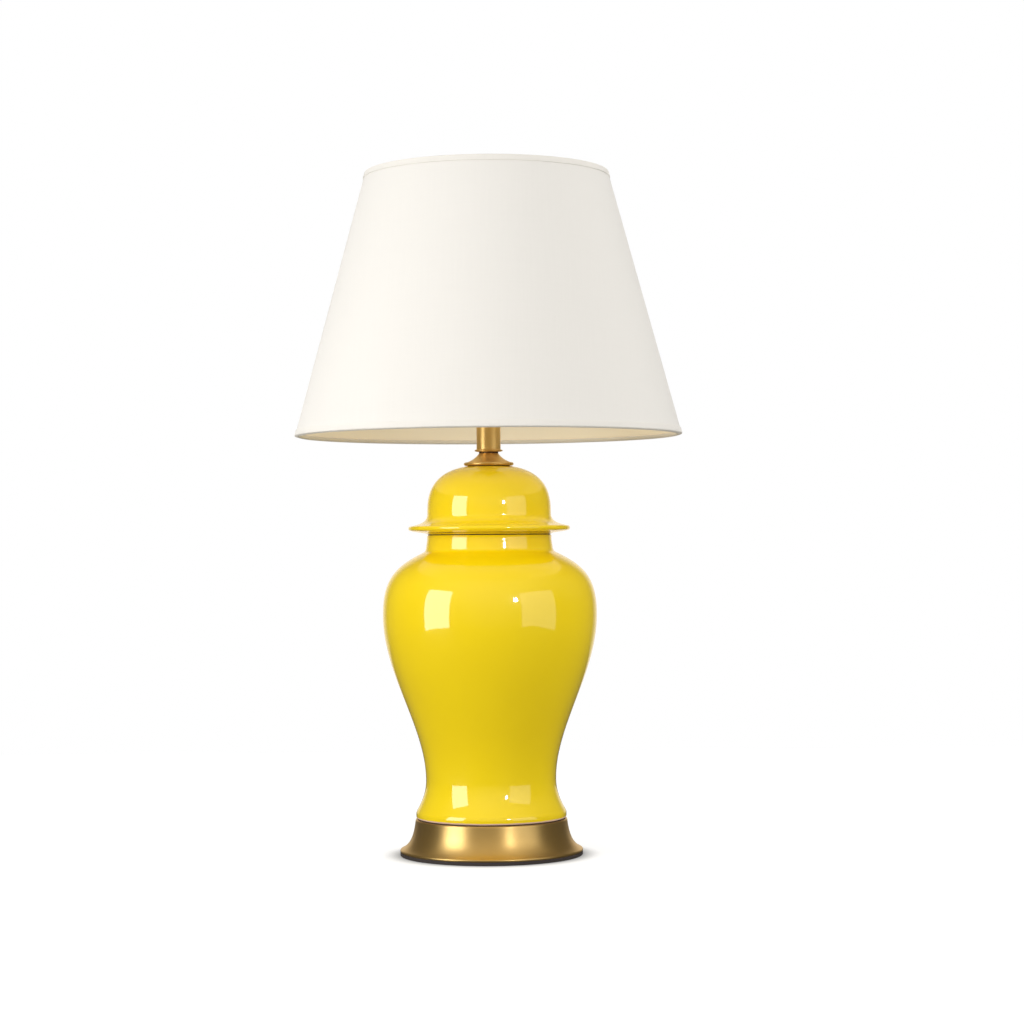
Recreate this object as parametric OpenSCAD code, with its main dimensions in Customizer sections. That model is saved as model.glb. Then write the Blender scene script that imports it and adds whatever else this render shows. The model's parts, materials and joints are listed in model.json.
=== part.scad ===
// Table lamp: glazed ceramic temple jar on a spun brass base, with a brass neck,
// a switched lamp socket, a harp and a tapered hardback fabric shade.
// Origin: centre of the foot on the table. +Z up. The cord inlet faces +Y, the switch -Y.
// The harp lies in the XZ plane. All sizes are in millimetres.

/* [Base] */
// Diameter of the spun brass base at its rim
base_d = 170; // [160:1:180]
// Height of the top face of the base above the table
base_h = 33.6; // [32:0.1:36]
// Thickness of the sheet brass
brass_t = 1.2; // [1:0.1:1.5]
// Thickness of the foam foot pad
pad_t = 3.2; // [2.5:0.1:3.5]
// Radius of the hole in the cord grommet
cord_r = 3.6; // [3:0.1:3.8]

/* [Jar] */
// Largest radius of the jar
jar_r = 99.3; // [95:0.1:104]
// Height at which the jar is widest
jar_widest_z = 223; // [215:1:230]
// Radius of the waist
waist_r = 60.4; // [58:0.1:63]
// Height of the waist
waist_z = 70; // [66:1:74]
// Radius of the foot of the jar
foot_r = 69.9; // [68:0.1:70]
// Radius of the neck at its mouth
mouth_r = 57.4; // [56:0.1:58]
// Height of the mouth of the jar
mouth_z = 297; // [294:1:299]
// Thickness of the ceramic wall
jar_wall = 5; // [4:0.1:6]

/* [Lid] */
// Radius of the flange of the lid
flange_r = 75.2; // [72:0.1:78]
// Radius of the dome of the lid
dome_r = 57.6; // [56:0.1:59]
// Height of the dome above the level where it starts to close
dome_h = 46; // [44:0.1:48]

/* [Neck] */
// Radius of the brass neck tube
neck_r = 11.2; // [10.8:0.1:12]
// Height of the top of the neck tube
neck_top = 417.4; // [410:0.1:420]
// Outer radius of the threaded lamp pipe
rod_r = 5; // [5:0.1:5]
// Radius of the wiring hole in the lamp pipe
rod_bore_r = 3.7; // [3.5:0.1:3.8]

/* [Harp] */
// Half the distance between the two legs of the harp at the saddle
harp_leg_x = 24.5; // [24:0.1:26]
// Radius of the harp wire
harp_wire_r = 1.6; // [1.5:0.1:1.8]
// Height of the centre of the wire at the top of the harp
harp_top_z = 611.4; // [600:0.1:612]
// Pitch of the stud thread, 27 to the inch
stud_pitch = 0.9407; // [0.9:0.0001:1]

/* [Shade] */
// Outer radius at the bottom rim
shade_r_low = 180.3; // [175:0.1:185]
// Outer radius at the top rim
shade_r_top = 113.5; // [108:0.1:118]
// Height of the bottom rim
shade_z_low = 389.5; // [385:0.1:395]
// Height of the top rim
shade_z_top = 634; // [630:0.1:640]
// Radius of the wire rings
ring_r = 1.25; // [1:0.05:1.4]
// Number of arms that carry the shade
arm_count = 3; // [3:1:4]

/* [Hidden] */
$fn = 96;
gap = 0.1;               // space between stacked parts of one assembly
fit = 0.05;              // radial clearance of a pin in its hole
base_r = base_d / 2;
plate_t = 1.4;
sink_h = 1.2;            // height of a countersunk screw head
plate_r = base_r - 2.3;
weight_r = 64;
weight_z = 18;
foot_z = base_h + 1;     // underside of the jar
seat_z = mouth_z + 0.8;  // underside of the lid
dome_z = 316;            // level where the dome starts to close
dome_power = 2.7;        // squareness of the dome
dome_top = dome_z + dome_h;
cap_r = 23.2;
cap_z = dome_top - 0.5;  // underside of the vase cap
cap_top = 373;
collar_z = 374.2;
tube_z = 376.4;          // underside of the neck tube
rod_z = 10.5;
rod_top = 430;
thread_len = 22;
tube_wall = 1;
saddle_t = 1.8;
saddle_w = 12;
post_z = 425.2;          // top face of the saddle pads
post_r = 2.4;
post_h = 9;
nut_z = neck_top + saddle_t;
cup_z = nut_z + 2.9;
knob_z = 452;
shaft_r = 1.6;
block_z = 441;
block_top = 460;
block_r = 14.3;
shell_top = 485;
e27_pitch = 3.62;
tip_z = 463.3;           // lowest point of the bulb
cap_end_z = 487;         // top of the screw cap
bulb_r = 30;
bulb_neck_z = 517;       // where the diffuser meets the housing
bulb_top = 568;
ferrule_h = 12;
leg_top = 450;           // end of the straight harp leg
seat_top = harp_top_z + 3.2;
washer_z = seat_top + 0.05;
hub_z = washer_z + 0.75;
hub_t = 1.8;
top_washer_z = hub_z + hub_t + 0.05;
finial_z = top_washer_z + 0.85;
stud_r = 3.175;
stud_top = 629;
finial_h = 26;
lead_r = 1.1;
lead_x = 1.5;
terminal_y = 22;
terminal_z = 13.2;

// ---- curves ----

// Points of a cubic curve from a to d, steered by b and c, without its first point
function curve(a, b, c, d, n = 10) = [
    for (i = [1:n]) let (t = i / n, s = 1 - t)
        a * s * s * s + 3 * b * s * s * t + 3 * c * s * t * t + d * t * t * t
];

// Points of a circular arc in the drawing plane, about c, from angle p to angle q
function arc(c, r, p, q, n = 8) = [
    for (i = [0:n]) let (w = p + (q - p) * i / n) c + r * [cos(w), sin(w)]
];

// The outline moved sideways by w, to the left of its direction of travel
function beside(pts, w) = [
    for (i = [0:len(pts) - 1])
        let (
            a = pts[max(i - 1, 0)],
            b = pts[min(i + 1, len(pts) - 1)],
            d = (b - a) / norm(b - a)
        )
        pts[i] + w * [-d.y, d.x]
];

function reversed(pts) = [for (i = [len(pts) - 1:-1:0]) pts[i]];

// One pass of corner cutting on an open route
function cut_corners(pts) = concat(
    [pts[0]],
    [for (i = [0:len(pts) - 2]) each [
        pts[i] * 0.75 + pts[i + 1] * 0.25,
        pts[i] * 0.25 + pts[i + 1] * 0.75
    ]],
    [pts[len(pts) - 1]]
);

function reversed_faces(faces) = [for (f = faces) reversed(f)];

// Round bar of radius r swept along points that never run along the line x = y
module tube(pts, r, sides) {
    last = len(pts) - 1;
    rings = [
        for (i = [0:last])
            let (
                step = pts[min(i + 1, last)] - pts[max(i - 1, 0)],
                t = step / norm(step),
                side = cross(t, [1, 1, 0]),
                u = side / norm(side),
                v = cross(t, u)
            )
            for (k = [0:sides - 1])
                pts[i] + r * (cos(360 * k / sides) * u + sin(360 * k / sides) * v)
    ];
    walls = [
        for (i = [0:last - 1], k = [0:sides - 1])
            let (a = i * sides + k, b = i * sides + (k + 1) % sides)
            each [[a, b, b + sides], [a, b + sides, a + sides]]
    ];
    ends = [
        [for (k = [sides - 1:-1:0]) k],
        [for (k = [0:sides - 1]) last * sides + k]
    ];
    polyhedron(rings, reversed_faces(concat(walls, ends)));
}

// Insulated lead along a route whose corners are rounded off
module lead(route) { tube(cut_corners(cut_corners(route)), lead_r, 8); }

// ---- small shared shapes ----

module turned(pts) { rotate_extrude() polygon(pts); }

module ring(r_in, r_out, z, h) {
    translate([0, 0, z]) difference() {
        cylinder(r = r_out, h = h);
        translate([0, 0, -1]) cylinder(r = r_in, h = h + 2);
    }
}

// Hexagon nut with its flats a distance flats apart
module hex_nut(flats, hole_r, z, h) {
    translate([0, 0, z]) difference() {
        cylinder(r = flats / sqrt(3), h = h, $fn = 6);
        translate([0, 0, -1]) cylinder(r = hole_r, h = h + 2);
    }
}

// Round bar from a to b
module bar(a, b, r) {
    d = b - a;
    turn = atan2(norm([d.x, d.y]), d.z);
    translate(a) rotate([0, turn, atan2(d.y, d.x)]) cylinder(r = r, h = norm(d));
}

// ---- base ----

// Outside of the brass base from its top edge down to the rim
base_outline = concat(
    arc([foot_r - 0.6, base_h - 1.2], 1.2, 90, 10, 4),
    curve([foot_r + 0.7, base_h - 1.6], [foot_r + 2.2, 20],
        [foot_r + 4.9, 9.5], [base_r - 0.6, 5.6], 14),
    arc([base_r - 1.1, 4.5], 1.1, 50, -30, 4),
    [[base_r - 0.6, pad_t + gap]]
);
base_inside = beside(base_outline, -brass_t);

module foot_pad() {
    color("#241d1c") cylinder(r = base_r - 0.1, h = pad_t);
}

screw_spots = [for (w = [30, 150, 270]) 50 * [cos(w), sin(w)]];

module base_plate() {
    color("silver") translate([0, 0, pad_t + gap]) difference() {
        cylinder(r = plate_r, h = plate_t);
        for (p = screw_spots) translate([p.x, p.y, -0.01]) {
            cylinder(r1 = 3.1, r2 = 1.6, h = sink_h);
            cylinder(r = 1.6, h = plate_t + 1);
        }
    }
}

module plate_screws() {
    color("gainsboro") for (p = screw_spots) translate([p.x, p.y, pad_t + gap]) {
        cylinder(r1 = 3, r2 = 1.5, h = sink_h);
        cylinder(r = 1.5, h = 10);
    }
}

module cord_hole(r) {
    translate([0, base_r - 30, 11]) rotate([-90, 0, 0]) cylinder(r = r, h = 40);
}

module base_shell() {
    hole_r = rod_r + 0.2;
    color("#b8924a") difference() {
        turned(concat(
            [[hole_r, base_h]], base_outline,
            reversed(base_inside), [[hole_r, base_h - brass_t]]
        ));
        cord_hole(4.7);
    }
}

module base_weight() {
    color("#4a4a4c") difference() {
        union() {
            translate([0, 0, weight_z])
                cylinder(r = weight_r, h = base_h - brass_t - gap - weight_z);
            for (p = screw_spots) translate([p.x, p.y, pad_t + plate_t + 2 * gap])
                cylinder(r = 5, h = weight_z - pad_t - plate_t);
        }
        translate([0, 0, 1]) cylinder(r = rod_r + 0.2, h = base_h);
        for (p = screw_spots) translate([p.x, p.y, 0]) cylinder(r = 1.55, h = 14);
        for (x = [-4, 4]) translate([x, terminal_y + 8, 0]) cylinder(r = 1.3, h = 24);
    }
}

// Rubber grommet whose groove holds the wall of the base
module cord_grommet() {
    color("#2b2624") difference() {
        translate([0, 0, 11]) rotate([-90, 0, 0]) translate([0, 0, base_r - 10.6])
            cylinder(r = 6.2, h = 7.6);
        difference() {
            turned(concat(
                [[60, base_h]], base_outline, reversed(base_inside), [[60, base_h - brass_t]]
            ));
            cord_hole(4.65);
        }
        cord_hole(cord_r);
    }
}

// ---- wiring in the base ----

module terminal_block() {
    color("ivory") translate([0, terminal_y, 8.4]) difference() {
        translate([-13, 0, 0]) cube([26, 16, weight_z - gap - 8.4]);
        for (x = [-8, 0, 8]) translate([x, 0, 0]) {
            translate([0, -1, terminal_z - 8.4]) rotate([-90, 0, 0]) cylinder(r = 1.4, h = 18);
            for (y = [4, 12]) translate([0, y, -1]) cylinder(r = 1.65, h = 4.5);
        }
        for (x = [-4, 4]) translate([x, 8, -1]) cylinder(r = 1.3, h = 12);
    }
}

module block_screws() {
    color("gainsboro") for (x = [-4, 4]) translate([x, terminal_y + 8, 0]) {
        translate([0, 0, 7.1]) cylinder(r = 2.1, h = 1.2);
        translate([0, 0, 7.1]) cylinder(r = 1.25, h = 15);
    }
}

module clamp_screws() {
    color("gainsboro") for (x = [-8, 0, 8], y = [4, 12])
        translate([x, terminal_y + y, 8.6]) cylinder(r = 1.55, h = 3);
}

// Route of a lead from its terminal in the base, up the pipe, to the socket
function lead_route(side) = [
    [side * 12.3, 0, 443.9], [side * 12.3, 0, 440.5], [side * 6.5, 0, 436],
    [side * lead_x, 0, 433.5], [side * lead_x, 0, 429], [side * lead_x, 0, 220],
    [side * lead_x, 0, 14], [side * lead_x, 0.2, 9.2], [side * lead_x, 3.2, 7.1],
    [side * 3, 11, 7.6], [side * 7.2, 16, 12.4], [side * 8, 19, terminal_z],
    [side * 8, terminal_y - gap, terminal_z]
];

module live_lead() { color("saddlebrown") lead(lead_route(1)); }

module neutral_lead() { color("royalblue") lead(lead_route(-1)); }

module earth_lead() {
    color("yellowgreen") lead([
        [0, 15.1, 15.95], [0, 17, 15.9], [0, 19, 14], [0, 20.5, terminal_z],
        [0, terminal_y - gap, terminal_z]
    ]);
}

tag_z = weight_z - 2.1;

module earth_tag() {
    color("gold") difference() {
        union() {
            translate([0, 0, tag_z]) cylinder(r = 8.6, h = 0.8);
            translate([-2, 0, tag_z]) cube([4, 13, 0.8]);
            translate([0, 12, tag_z + 0.05]) rotate([-90, 0, 0]) cylinder(r = 1.8, h = 3);
        }
        translate([0, 0, tag_z - 1]) cylinder(r = rod_r + fit, h = 3);
    }
}

module lock_washer() {
    color("silver") difference() {
        ring(rod_r + fit, 8.2, weight_z - 1.25, 1.2);
        translate([0, -0.6, weight_z - 2]) cube([10, 1.2, 3]);
    }
}

module rod_nut() { color("silver") hex_nut(14, rod_r + fit, tag_z - 4.55, 4.5); }

// ---- pipe that holds the stack together ----

// Half outline of the pipe, with ring grooves for the threads at both ends
function thread_side(z, n, pitch, r, depth) = [
    for (i = [0:n - 1]) each [
        [r, z + pitch * i], [r, z + pitch * (i + 0.25)],
        [r - depth, z + pitch * (i + 0.5)], [r, z + pitch * (i + 0.99)]
    ]
];

module threaded_rod() {
    color("#c9a65a") turned(concat(
        [[rod_bore_r, rod_z], [rod_r - 0.4, rod_z]],
        thread_side(rod_z + 0.5, thread_len, 1, rod_r, 0.4),
        thread_side(rod_top - thread_len - 0.5, thread_len, 1, rod_r, 0.4),
        [[rod_r - 0.4, rod_top], [rod_bore_r, rod_top]]
    ));
}

// ---- jar ----

jar_outline = concat(
    [[foot_r - 1, foot_z], [foot_r - 0.2, foot_z + 0.6]],
    [[foot_r, foot_z + 3]],
    curve([foot_r, foot_z + 3], [foot_r, foot_z + 4.6], [foot_r - 0.2, foot_z + 5.4],
        [foot_r - 0.8, foot_z + 6.8], 4),
    curve([foot_r - 0.8, foot_z + 6.8], [foot_r - 4.4, 48], [waist_r, 57],
        [waist_r, waist_z], 10),
    curve([waist_r, waist_z], [waist_r, waist_z + 50], [jar_r, jar_widest_z - 55],
        [jar_r, jar_widest_z], 22),
    curve([jar_r, jar_widest_z], [jar_r + 0.2, jar_widest_z + 33],
        [jar_r - 11.3, jar_widest_z + 45.5], [mouth_r + 4.1, jar_widest_z + 58], 16),
    curve([mouth_r + 4.1, jar_widest_z + 58], [mouth_r + 2.4, jar_widest_z + 58.9],
        [mouth_r + 1.7, jar_widest_z + 60.5], [mouth_r + 1.5, jar_widest_z + 63], 4),
    [[mouth_r, mouth_z]]
);
jar_inside = beside(jar_outline, jar_wall);

module jar_body() {
    first = 5;
    inside = [for (i = [first:len(jar_inside) - 1]) jar_inside[i]];
    floor_z = foot_z + 7;
    color("#f0cd1e") turned(concat(
        [[7, foot_z + 1.5], [foot_r - 9, foot_z + 1.5], [foot_r - 9, foot_z]],
        jar_outline, reversed(inside),
        [[inside[0].x - 4, floor_z], [7, floor_z]]
    ));
}

module jar_gasket() { color("#3a2f2a") ring(foot_r - 9.5, foot_r - 1.4, base_h + 0.05, 0.9); }

module lid_gasket() {
    color("#3a2f2a") ring(mouth_r - jar_wall + 0.2, mouth_r - 0.5, mouth_z + 0.05, 0.7);
}

// ---- lid ----

// Closed side of the dome: a superellipse of radius a and height b
function dome(a, b, n, stop) = [
    for (i = [0:n]) let (w = 90 * i / n * stop)
        [a * pow(cos(w), 2 / dome_power), dome_z + b * pow(sin(w), 2 / dome_power)]
];
dome_path = dome(dome_r, dome_h, 22, 0.985);
dome_inner = dome(dome_r - 4.5, dome_h - 4.2, 18, 0.98);

module jar_lid() {
    rim_r = mouth_r - jar_wall - 0.9;
    color("#f0cd1e") turned(concat(
        [[rim_r - 4, seat_z - 8], [rim_r, seat_z - 8], [rim_r, seat_z],
            [mouth_r + 0.4, seat_z], [mouth_r + 1.6, seat_z + 0.9]],
        curve([mouth_r + 1.6, seat_z + 0.9], [mouth_r + 8, seat_z + 1.9],
            [flange_r - 4, seat_z + 2.6], [flange_r - 1.6, seat_z + 3.5], 6),
        arc([flange_r - 2.2, seat_z + 5.5], 2.2, -60, 75, 6),
        curve([flange_r - 1.6, seat_z + 7.6], [mouth_r + 8, seat_z + 9.4],
            [dome_r + 0.4, seat_z + 11], [dome_r, dome_z], 8),
        [for (i = [1:len(dome_path) - 1]) dome_path[i]],
        [[rod_r + 0.6, dome_top], [rod_r + 0.6, dome_top - 4.2]],
        reversed(dome_inner), [[rim_r - 4, seat_z + 4]]
    ));
}

// ---- vase cap and neck ----

module cap_gasket() {
    color("#3a2f2a") difference() {
        ring(14, cap_r - 3.6, dome_top - 3, 2.45);
        turned(concat([[0, 300], [dome_r, 300]], dome_path, [[0, dome_top]]));
    }
}

cap_outline = concat(
    [[cap_r - 1.9, cap_z]], arc([cap_r - 1.5, cap_z + 1.5], 1.5, -75, 120, 8),
    curve([cap_r - 2.6, cap_z + 3], [cap_r - 6.8, cap_z + 4.4], [11.6, cap_z + 7.4],
        [9.2, cap_top - 0.4], 10),
    [[8.8, cap_top]]
);

module vase_cap() {
    hollow = curve([cap_r - 3.4, cap_z + 1.6], [cap_r - 8, cap_z + 3.2],
        [10.4, cap_z + 6.4], [8, cap_top - 1.4], 8);
    color("#b8924a") turned(concat(
        cap_outline, [[rod_r + 0.1, cap_top], [rod_r + 0.1, cap_top - 1.4]],
        reversed(hollow), [[cap_r - 3.4, cap_z]]
    ));
}

// Toothed washer under the neck
module star_washer() {
    color("#5b4a34") difference() {
        ring(rod_r + fit, 9, cap_top + 0.05, 1.1);
        for (w = [0:30:330]) rotate([0, 0, w]) translate([7.2, -0.7, cap_top - 1])
            cube([4, 1.4, 4]);
    }
}

module neck_collar() {
    color("#b8924a") turned([
        [rod_r + fit, collar_z + 0.05], [10.4, collar_z + 0.05], [12.2, collar_z + 0.7],
        [13, collar_z + 0.9], [13.1, collar_z + 1.4], [12.9, collar_z + 1.9],
        [12.2, tube_z - 0.05], [neck_r - tube_wall - fit, tube_z - 0.05],
        [neck_r - tube_wall - fit, tube_z + 6], [rod_r + fit, tube_z + 6]
    ]);
}

module neck_tube() {
    color("#b8924a") ring(neck_r - tube_wall, neck_r, tube_z, neck_top - tube_z - 0.05);
}

// ---- harp saddle ----

// Upright half of a round post; side is +1 for the half that faces +X
module half_post(x, z, r, h, side, space = 0.06) {
    difference() {
        translate([x, 0, z]) cylinder(r = r, h = h);
        translate([side > 0 ? x - 2 * r + space : x - space, -2 * r, z - 1])
            cube([2 * r, 4 * r, h + 2]);
    }
}

module harp_saddle() {
    pad_x = harp_leg_x + 3;
    side = [
        [0, neck_top], [16.5, neck_top], [harp_leg_x - 1.5, post_z - saddle_t],
        [pad_x, post_z - saddle_t], [pad_x, post_z], [harp_leg_x - 2.7, post_z],
        [15.6, neck_top + saddle_t], [0, neck_top + saddle_t]
    ];
    color("#c9a65a") {
        difference() {
            rotate([90, 0, 0]) linear_extrude(height = saddle_w, center = true)
                polygon(concat(side, [for (p = reversed(side)) [-p.x, p.y]]));
            translate([0, 0, neck_top - 1]) cylinder(r = rod_r + fit, h = 4);
        }
        half_post(harp_leg_x, post_z - 0.5, post_r, post_h + 0.5, -1);
        half_post(-harp_leg_x, post_z - 0.5, post_r, post_h + 0.5, 1);
    }
}

module saddle_nut() { color("#c9a65a") hex_nut(14, rod_r + fit, nut_z + 0.05, 2.8); }

// ---- lamp socket ----

module socket_cup() {
    outside = concat(
        [[6.8, cup_z], [6.8, cup_z + 5]],
        curve([6.8, cup_z + 5], [7.4, cup_z + 10.5], [17.5, cup_z + 9], [17.5, cup_z + 18], 10),
        [[17.5, cup_z + 25]]
    );
    hollow = concat(
        [[5.9, cup_z + 6]],
        curve([5.9, cup_z + 6], [6.6, cup_z + 11.6], [16.7, cup_z + 10],
            [16.7, cup_z + 18], 10),
        [[16.7, cup_z + 25]]
    );
    color("#c9a65a") difference() {
        turned(concat([[rod_r + fit, cup_z]], outside, reversed(hollow),
            [[rod_r + fit, cup_z + 6]]));
        translate([0, 5, cup_z + 2.6]) rotate([-90, 0, 0]) cylinder(r = 1.05, h = 4);
    }
}

module cup_setscrew() {
    color("silver") translate([0, rod_r + 0.15, cup_z + 2.6]) rotate([-90, 0, 0])
        difference() {
            cylinder(r = 1, h = 3.4);
            translate([-0.2, -2, 2.8]) cube([0.4, 4, 1]);
        }
}

module socket_block() {
    color("#3c342e") difference() {
        translate([0, 0, block_z]) cylinder(r = block_r, h = block_top - block_z);
        for (side = [-1, 1]) {
            translate([side * 16.2 - 5, -20, block_z - 1]) cube([10, 40, 11.6]);
            translate([side * 6, 0, 446.5]) rotate([0, side * 90, 0]) cylinder(r = 1.25, h = 8);
        }
        translate([0, -3.4, knob_z]) rotate([90, 0, 0]) cylinder(r = shaft_r + 0.08, h = 20);
    }
}

// Terminal screws on the flats of the socket block
module socket_terminals() {
    color("#c9a65a") for (side = [-1, 1]) translate([side * 6.5, 0, 446.5])
        rotate([0, side * 90, 0]) {
            cylinder(r = 1.2, h = 4.8);
            translate([0, 0, 4.75]) difference() {
                cylinder(r = 2.4, h = 1.9);
                translate([-0.3, -3, 1.2]) cube([0.6, 6, 2]);
            }
        }
}

// Knuckle thread drawn as rings, between two radii
function knuckles(z, n, r_in, r_out, steps = 8) = [
    for (i = [0:n * steps])
        [(r_in + r_out) / 2 - (r_out - r_in) / 2 * cos(360 * i / steps),
            z + e27_pitch * i / steps]
];

module screw_shell() {
    rounds = 5;
    low = block_top + 2.2;
    side = knuckles(low, rounds, 13.5, 14);
    color("#d6b469") turned(concat(
        [[9.5, block_top + 0.05], [14, block_top + 0.05], [14, low]],
        [for (p = side) p + [0.5, 0]],
        [[14.3, shell_top - 2.5], [13.8, shell_top - 2.5]],
        reversed(side), [[13.5, block_top + 0.6], [9.5, block_top + 0.6]]
    ));
}

module centre_contact() {
    color("#d6b469") translate([0, 2.5, 0]) rotate([90, 0, 0]) linear_extrude(height = 5)
        polygon([
            [-8, block_top + 0.05], [-3.6, block_top + 0.05], [3, tip_z - 0.75],
            [3, tip_z - 0.15], [-3.8, block_top + 0.65], [-8, block_top + 0.65]
        ]);
}

module socket_liner() {
    color("#8a6d4a") difference() {
        ring(14.95, 15.7, block_z, shell_top - 1 - block_z);
        translate([0, 0, knob_z]) rotate([90, 0, 0]) cylinder(r = 2.4, h = 30);
    }
}

module socket_shell() {
    bead = 0.7;
    color("#c9a65a") difference() {
        union() {
            ring(15.85, 16.55, 443, shell_top - 443);
            translate([0, 0, shell_top - bead]) rotate_extrude()
                translate([16.55, 0]) circle(r = bead);
        }
        translate([0, 0, knob_z]) rotate([90, 0, 0]) cylinder(r = 2.4, h = 30);
        ring(10, 15.85, 440, 60);
    }
}

module switch_shaft() {
    color("silver") translate([0, -3.6, knob_z]) rotate([90, 0, 0])
        cylinder(r = shaft_r, h = 26);
}

// Small fluted turn knob
module switch_knob() {
    color("#1f1c1b") translate([0, -19, knob_z]) rotate([90, 0, 0]) difference() {
        union() {
            cylinder(r = 4.2, h = 3);
            translate([0, 0, 2.5]) cylinder(r = 5.6, h = 11);
            translate([0, 0, 13.5]) cylinder(r1 = 5.6, r2 = 4.6, h = 1);
        }
        for (w = [0:30:330]) rotate([0, 0, w]) translate([6.1, 0, 3.4])
            cylinder(r = 1, h = 13);
        translate([0, 0, -1]) cylinder(r = shaft_r, h = 11.6);
    }
}

// ---- bulb ----

module bulb_contact() {
    color("silver") turned([
        [0, tip_z], [2.6, tip_z + 0.1], [4.2, tip_z + 0.7], [4.6, tip_z + 1.5], [0, tip_z + 1.5]
    ]);
}

module bulb_insulator() {
    color("#16141a") turned([
        [0, tip_z + 1.55], [5.2, tip_z + 1.55], [11.6, tip_z + 5.2], [11.6, tip_z + 5.9],
        [0, tip_z + 5.9]
    ]);
}

module bulb_cap() {
    rounds = 4;
    low = tip_z + 6.2;
    color("#c8c8ca") turned(concat(
        [[11, low - 0.25], [12.2, low - 0.25]], knuckles(low, rounds, 12.3, 13.1),
        [[12.9, cap_end_z - 0.3], [12.9, cap_end_z], [11, cap_end_z]]
    ));
}

housing_side = curve([12.8, cap_end_z + 0.1], [15.5, cap_end_z + 9],
    [24.5, cap_end_z + 17], [bulb_r - 0.6, bulb_neck_z - 0.1], 12);

module bulb_housing() {
    hollow = beside(housing_side, 1.5);
    color("#f4f4f2") turned(concat(
        [[9, cap_end_z + 0.1], [12.8, cap_end_z + 0.1]], housing_side,
        [[bulb_r - 2.2, bulb_neck_z - 0.1]], reversed(hollow), [[9, cap_end_z + 2]]
    ));
}

module led_board() {
    color("white") {
        translate([0, 0, bulb_neck_z - 2]) cylinder(r = 24, h = 1.6);
        for (w = [0:45:315]) rotate([0, 0, w])
            translate([15, -1.4, bulb_neck_z - 0.6]) cube([2.8, 2.8, 1]);
    }
}

module bulb_diffuser() {
    side = concat(
        [[bulb_r - 0.7, bulb_neck_z]],
        curve([bulb_r - 0.7, bulb_neck_z], [bulb_r + 0.4, bulb_neck_z + 7],
            [bulb_r + 0.3, bulb_neck_z + 12], [bulb_r, bulb_neck_z + 18], 6),
        curve([bulb_r, bulb_neck_z + 18], [bulb_r - 1.2, bulb_top - 13],
            [18, bulb_top], [0, bulb_top], 14)
    );
    last = len(side) - 1;
    inner = [for (i = [0:last - 1]) beside(side, 1.3)[i]];
    color("#fdfdf8") turned(concat(side, [[0, bulb_top - 1.3]], reversed(inner)));
}

// ---- harp ----

// Each side of the harp is a straight leg, a bend out, a straight part, a long bow
// and a tight bend in. The two last radii follow from the height and width to be spanned.
lean = 52;               // heading of the straight part above the horizontal
bow_end = 115;           // heading where the bow meets the tight bend
out_bend_r = 14;
flare_len = 12;
flat_half = 8;           // half the flat length at the top
span_x = flat_half - harp_leg_x - out_bend_r * (1 - sin(lean)) - flare_len * cos(lean);
span_z = harp_top_z - leg_top - out_bend_r * cos(lean) - flare_len * sin(lean);
bow_dx = sin(bow_end) - sin(lean);
bow_dz = cos(lean) - cos(bow_end);
tight_dx = -sin(bow_end);
tight_dz = cos(bow_end) + 1;
span_det = bow_dx * tight_dz - tight_dx * bow_dz;
bow_r = (span_x * tight_dz - tight_dx * span_z) / span_det;
tight_r = (bow_dx * span_z - span_x * bow_dz) / span_det;

// Centre line of the right side of the harp, in the XZ plane
out_c = [harp_leg_x + out_bend_r, leg_top];
flare_end = out_c + out_bend_r * [-sin(lean), cos(lean)] + flare_len * [cos(lean), sin(lean)];
bow_c = flare_end + bow_r * [-sin(lean), cos(lean)];
harp_line = concat(
    [[harp_leg_x, post_z + 12]],
    arc(out_c, out_bend_r, 180, 90 + lean, 5),
    arc(bow_c, bow_r, lean - 90, bow_end - 90, 14),
    arc([flat_half, harp_top_z - tight_r], tight_r, bow_end - 90, 90, 9)
);

module harp_wire() {
    right = [for (p = harp_line) [p.x, 0, p.y]];
    color("#c9a65a") {
        tube(concat(right, [for (p = reversed(right)) [-p.x, 0, p.z]]), harp_wire_r, 12);
        half_post(harp_leg_x, post_z + 0.1, post_r, 12.4, 1);
        half_post(-harp_leg_x, post_z + 0.1, post_r, 12.4, -1);
    }
}

// Seat with its threaded stud, held on the top of the harp wire
module harp_seat() {
    turns = 12;
    color("#c9a65a") {
        difference() {
            union() {
                translate([0, 0, harp_top_z - 2.8]) cylinder(r = 4, h = 4.6);
                translate([0, 0, harp_top_z + 1.7]) cylinder(r = 9, h = 1.5);
            }
            translate([-20, 0, harp_top_z]) rotate([0, 90, 0])
                cylinder(r = harp_wire_r + fit, h = 40);
        }
        turned(concat(
            [[0, seat_top - 0.1], [stud_r, seat_top - 0.1]],
            thread_side(stud_top - 0.4 - turns * stud_pitch, turns, stud_pitch, stud_r, 0.35),
            [[stud_r - 0.4, stud_top], [0, stud_top]]
        ));
    }
}

// Sleeve that locks a harp leg to the saddle post
module ferrule(x) {
    color("#c9a65a") translate([x, 0, 0]) turned([
        [post_r + 0.08, post_z + 0.1], [3.5, post_z + 0.1], [3.5, post_z + 1.4],
        [3.1, post_z + 1.8], [3.1, post_z + ferrule_h - 1], [2.8, post_z + ferrule_h],
        [post_r + 0.08, post_z + ferrule_h]
    ]);
}

module ferrule_left() { ferrule(-harp_leg_x); }

module ferrule_right() { ferrule(harp_leg_x); }

// ---- shade ----

shade_slant = [shade_r_top - shade_r_low, shade_z_top - shade_z_low];
slant_len = norm(shade_slant);
slant_u = shade_slant / slant_len;
slant_n = [slant_u.y, -slant_u.x];

// Point at distance s up the slant from the bottom rim and depth d inside the outer line
function on_slant(s, d) = [shade_r_low, shade_z_low] + s * slant_u - d * slant_n;

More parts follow.
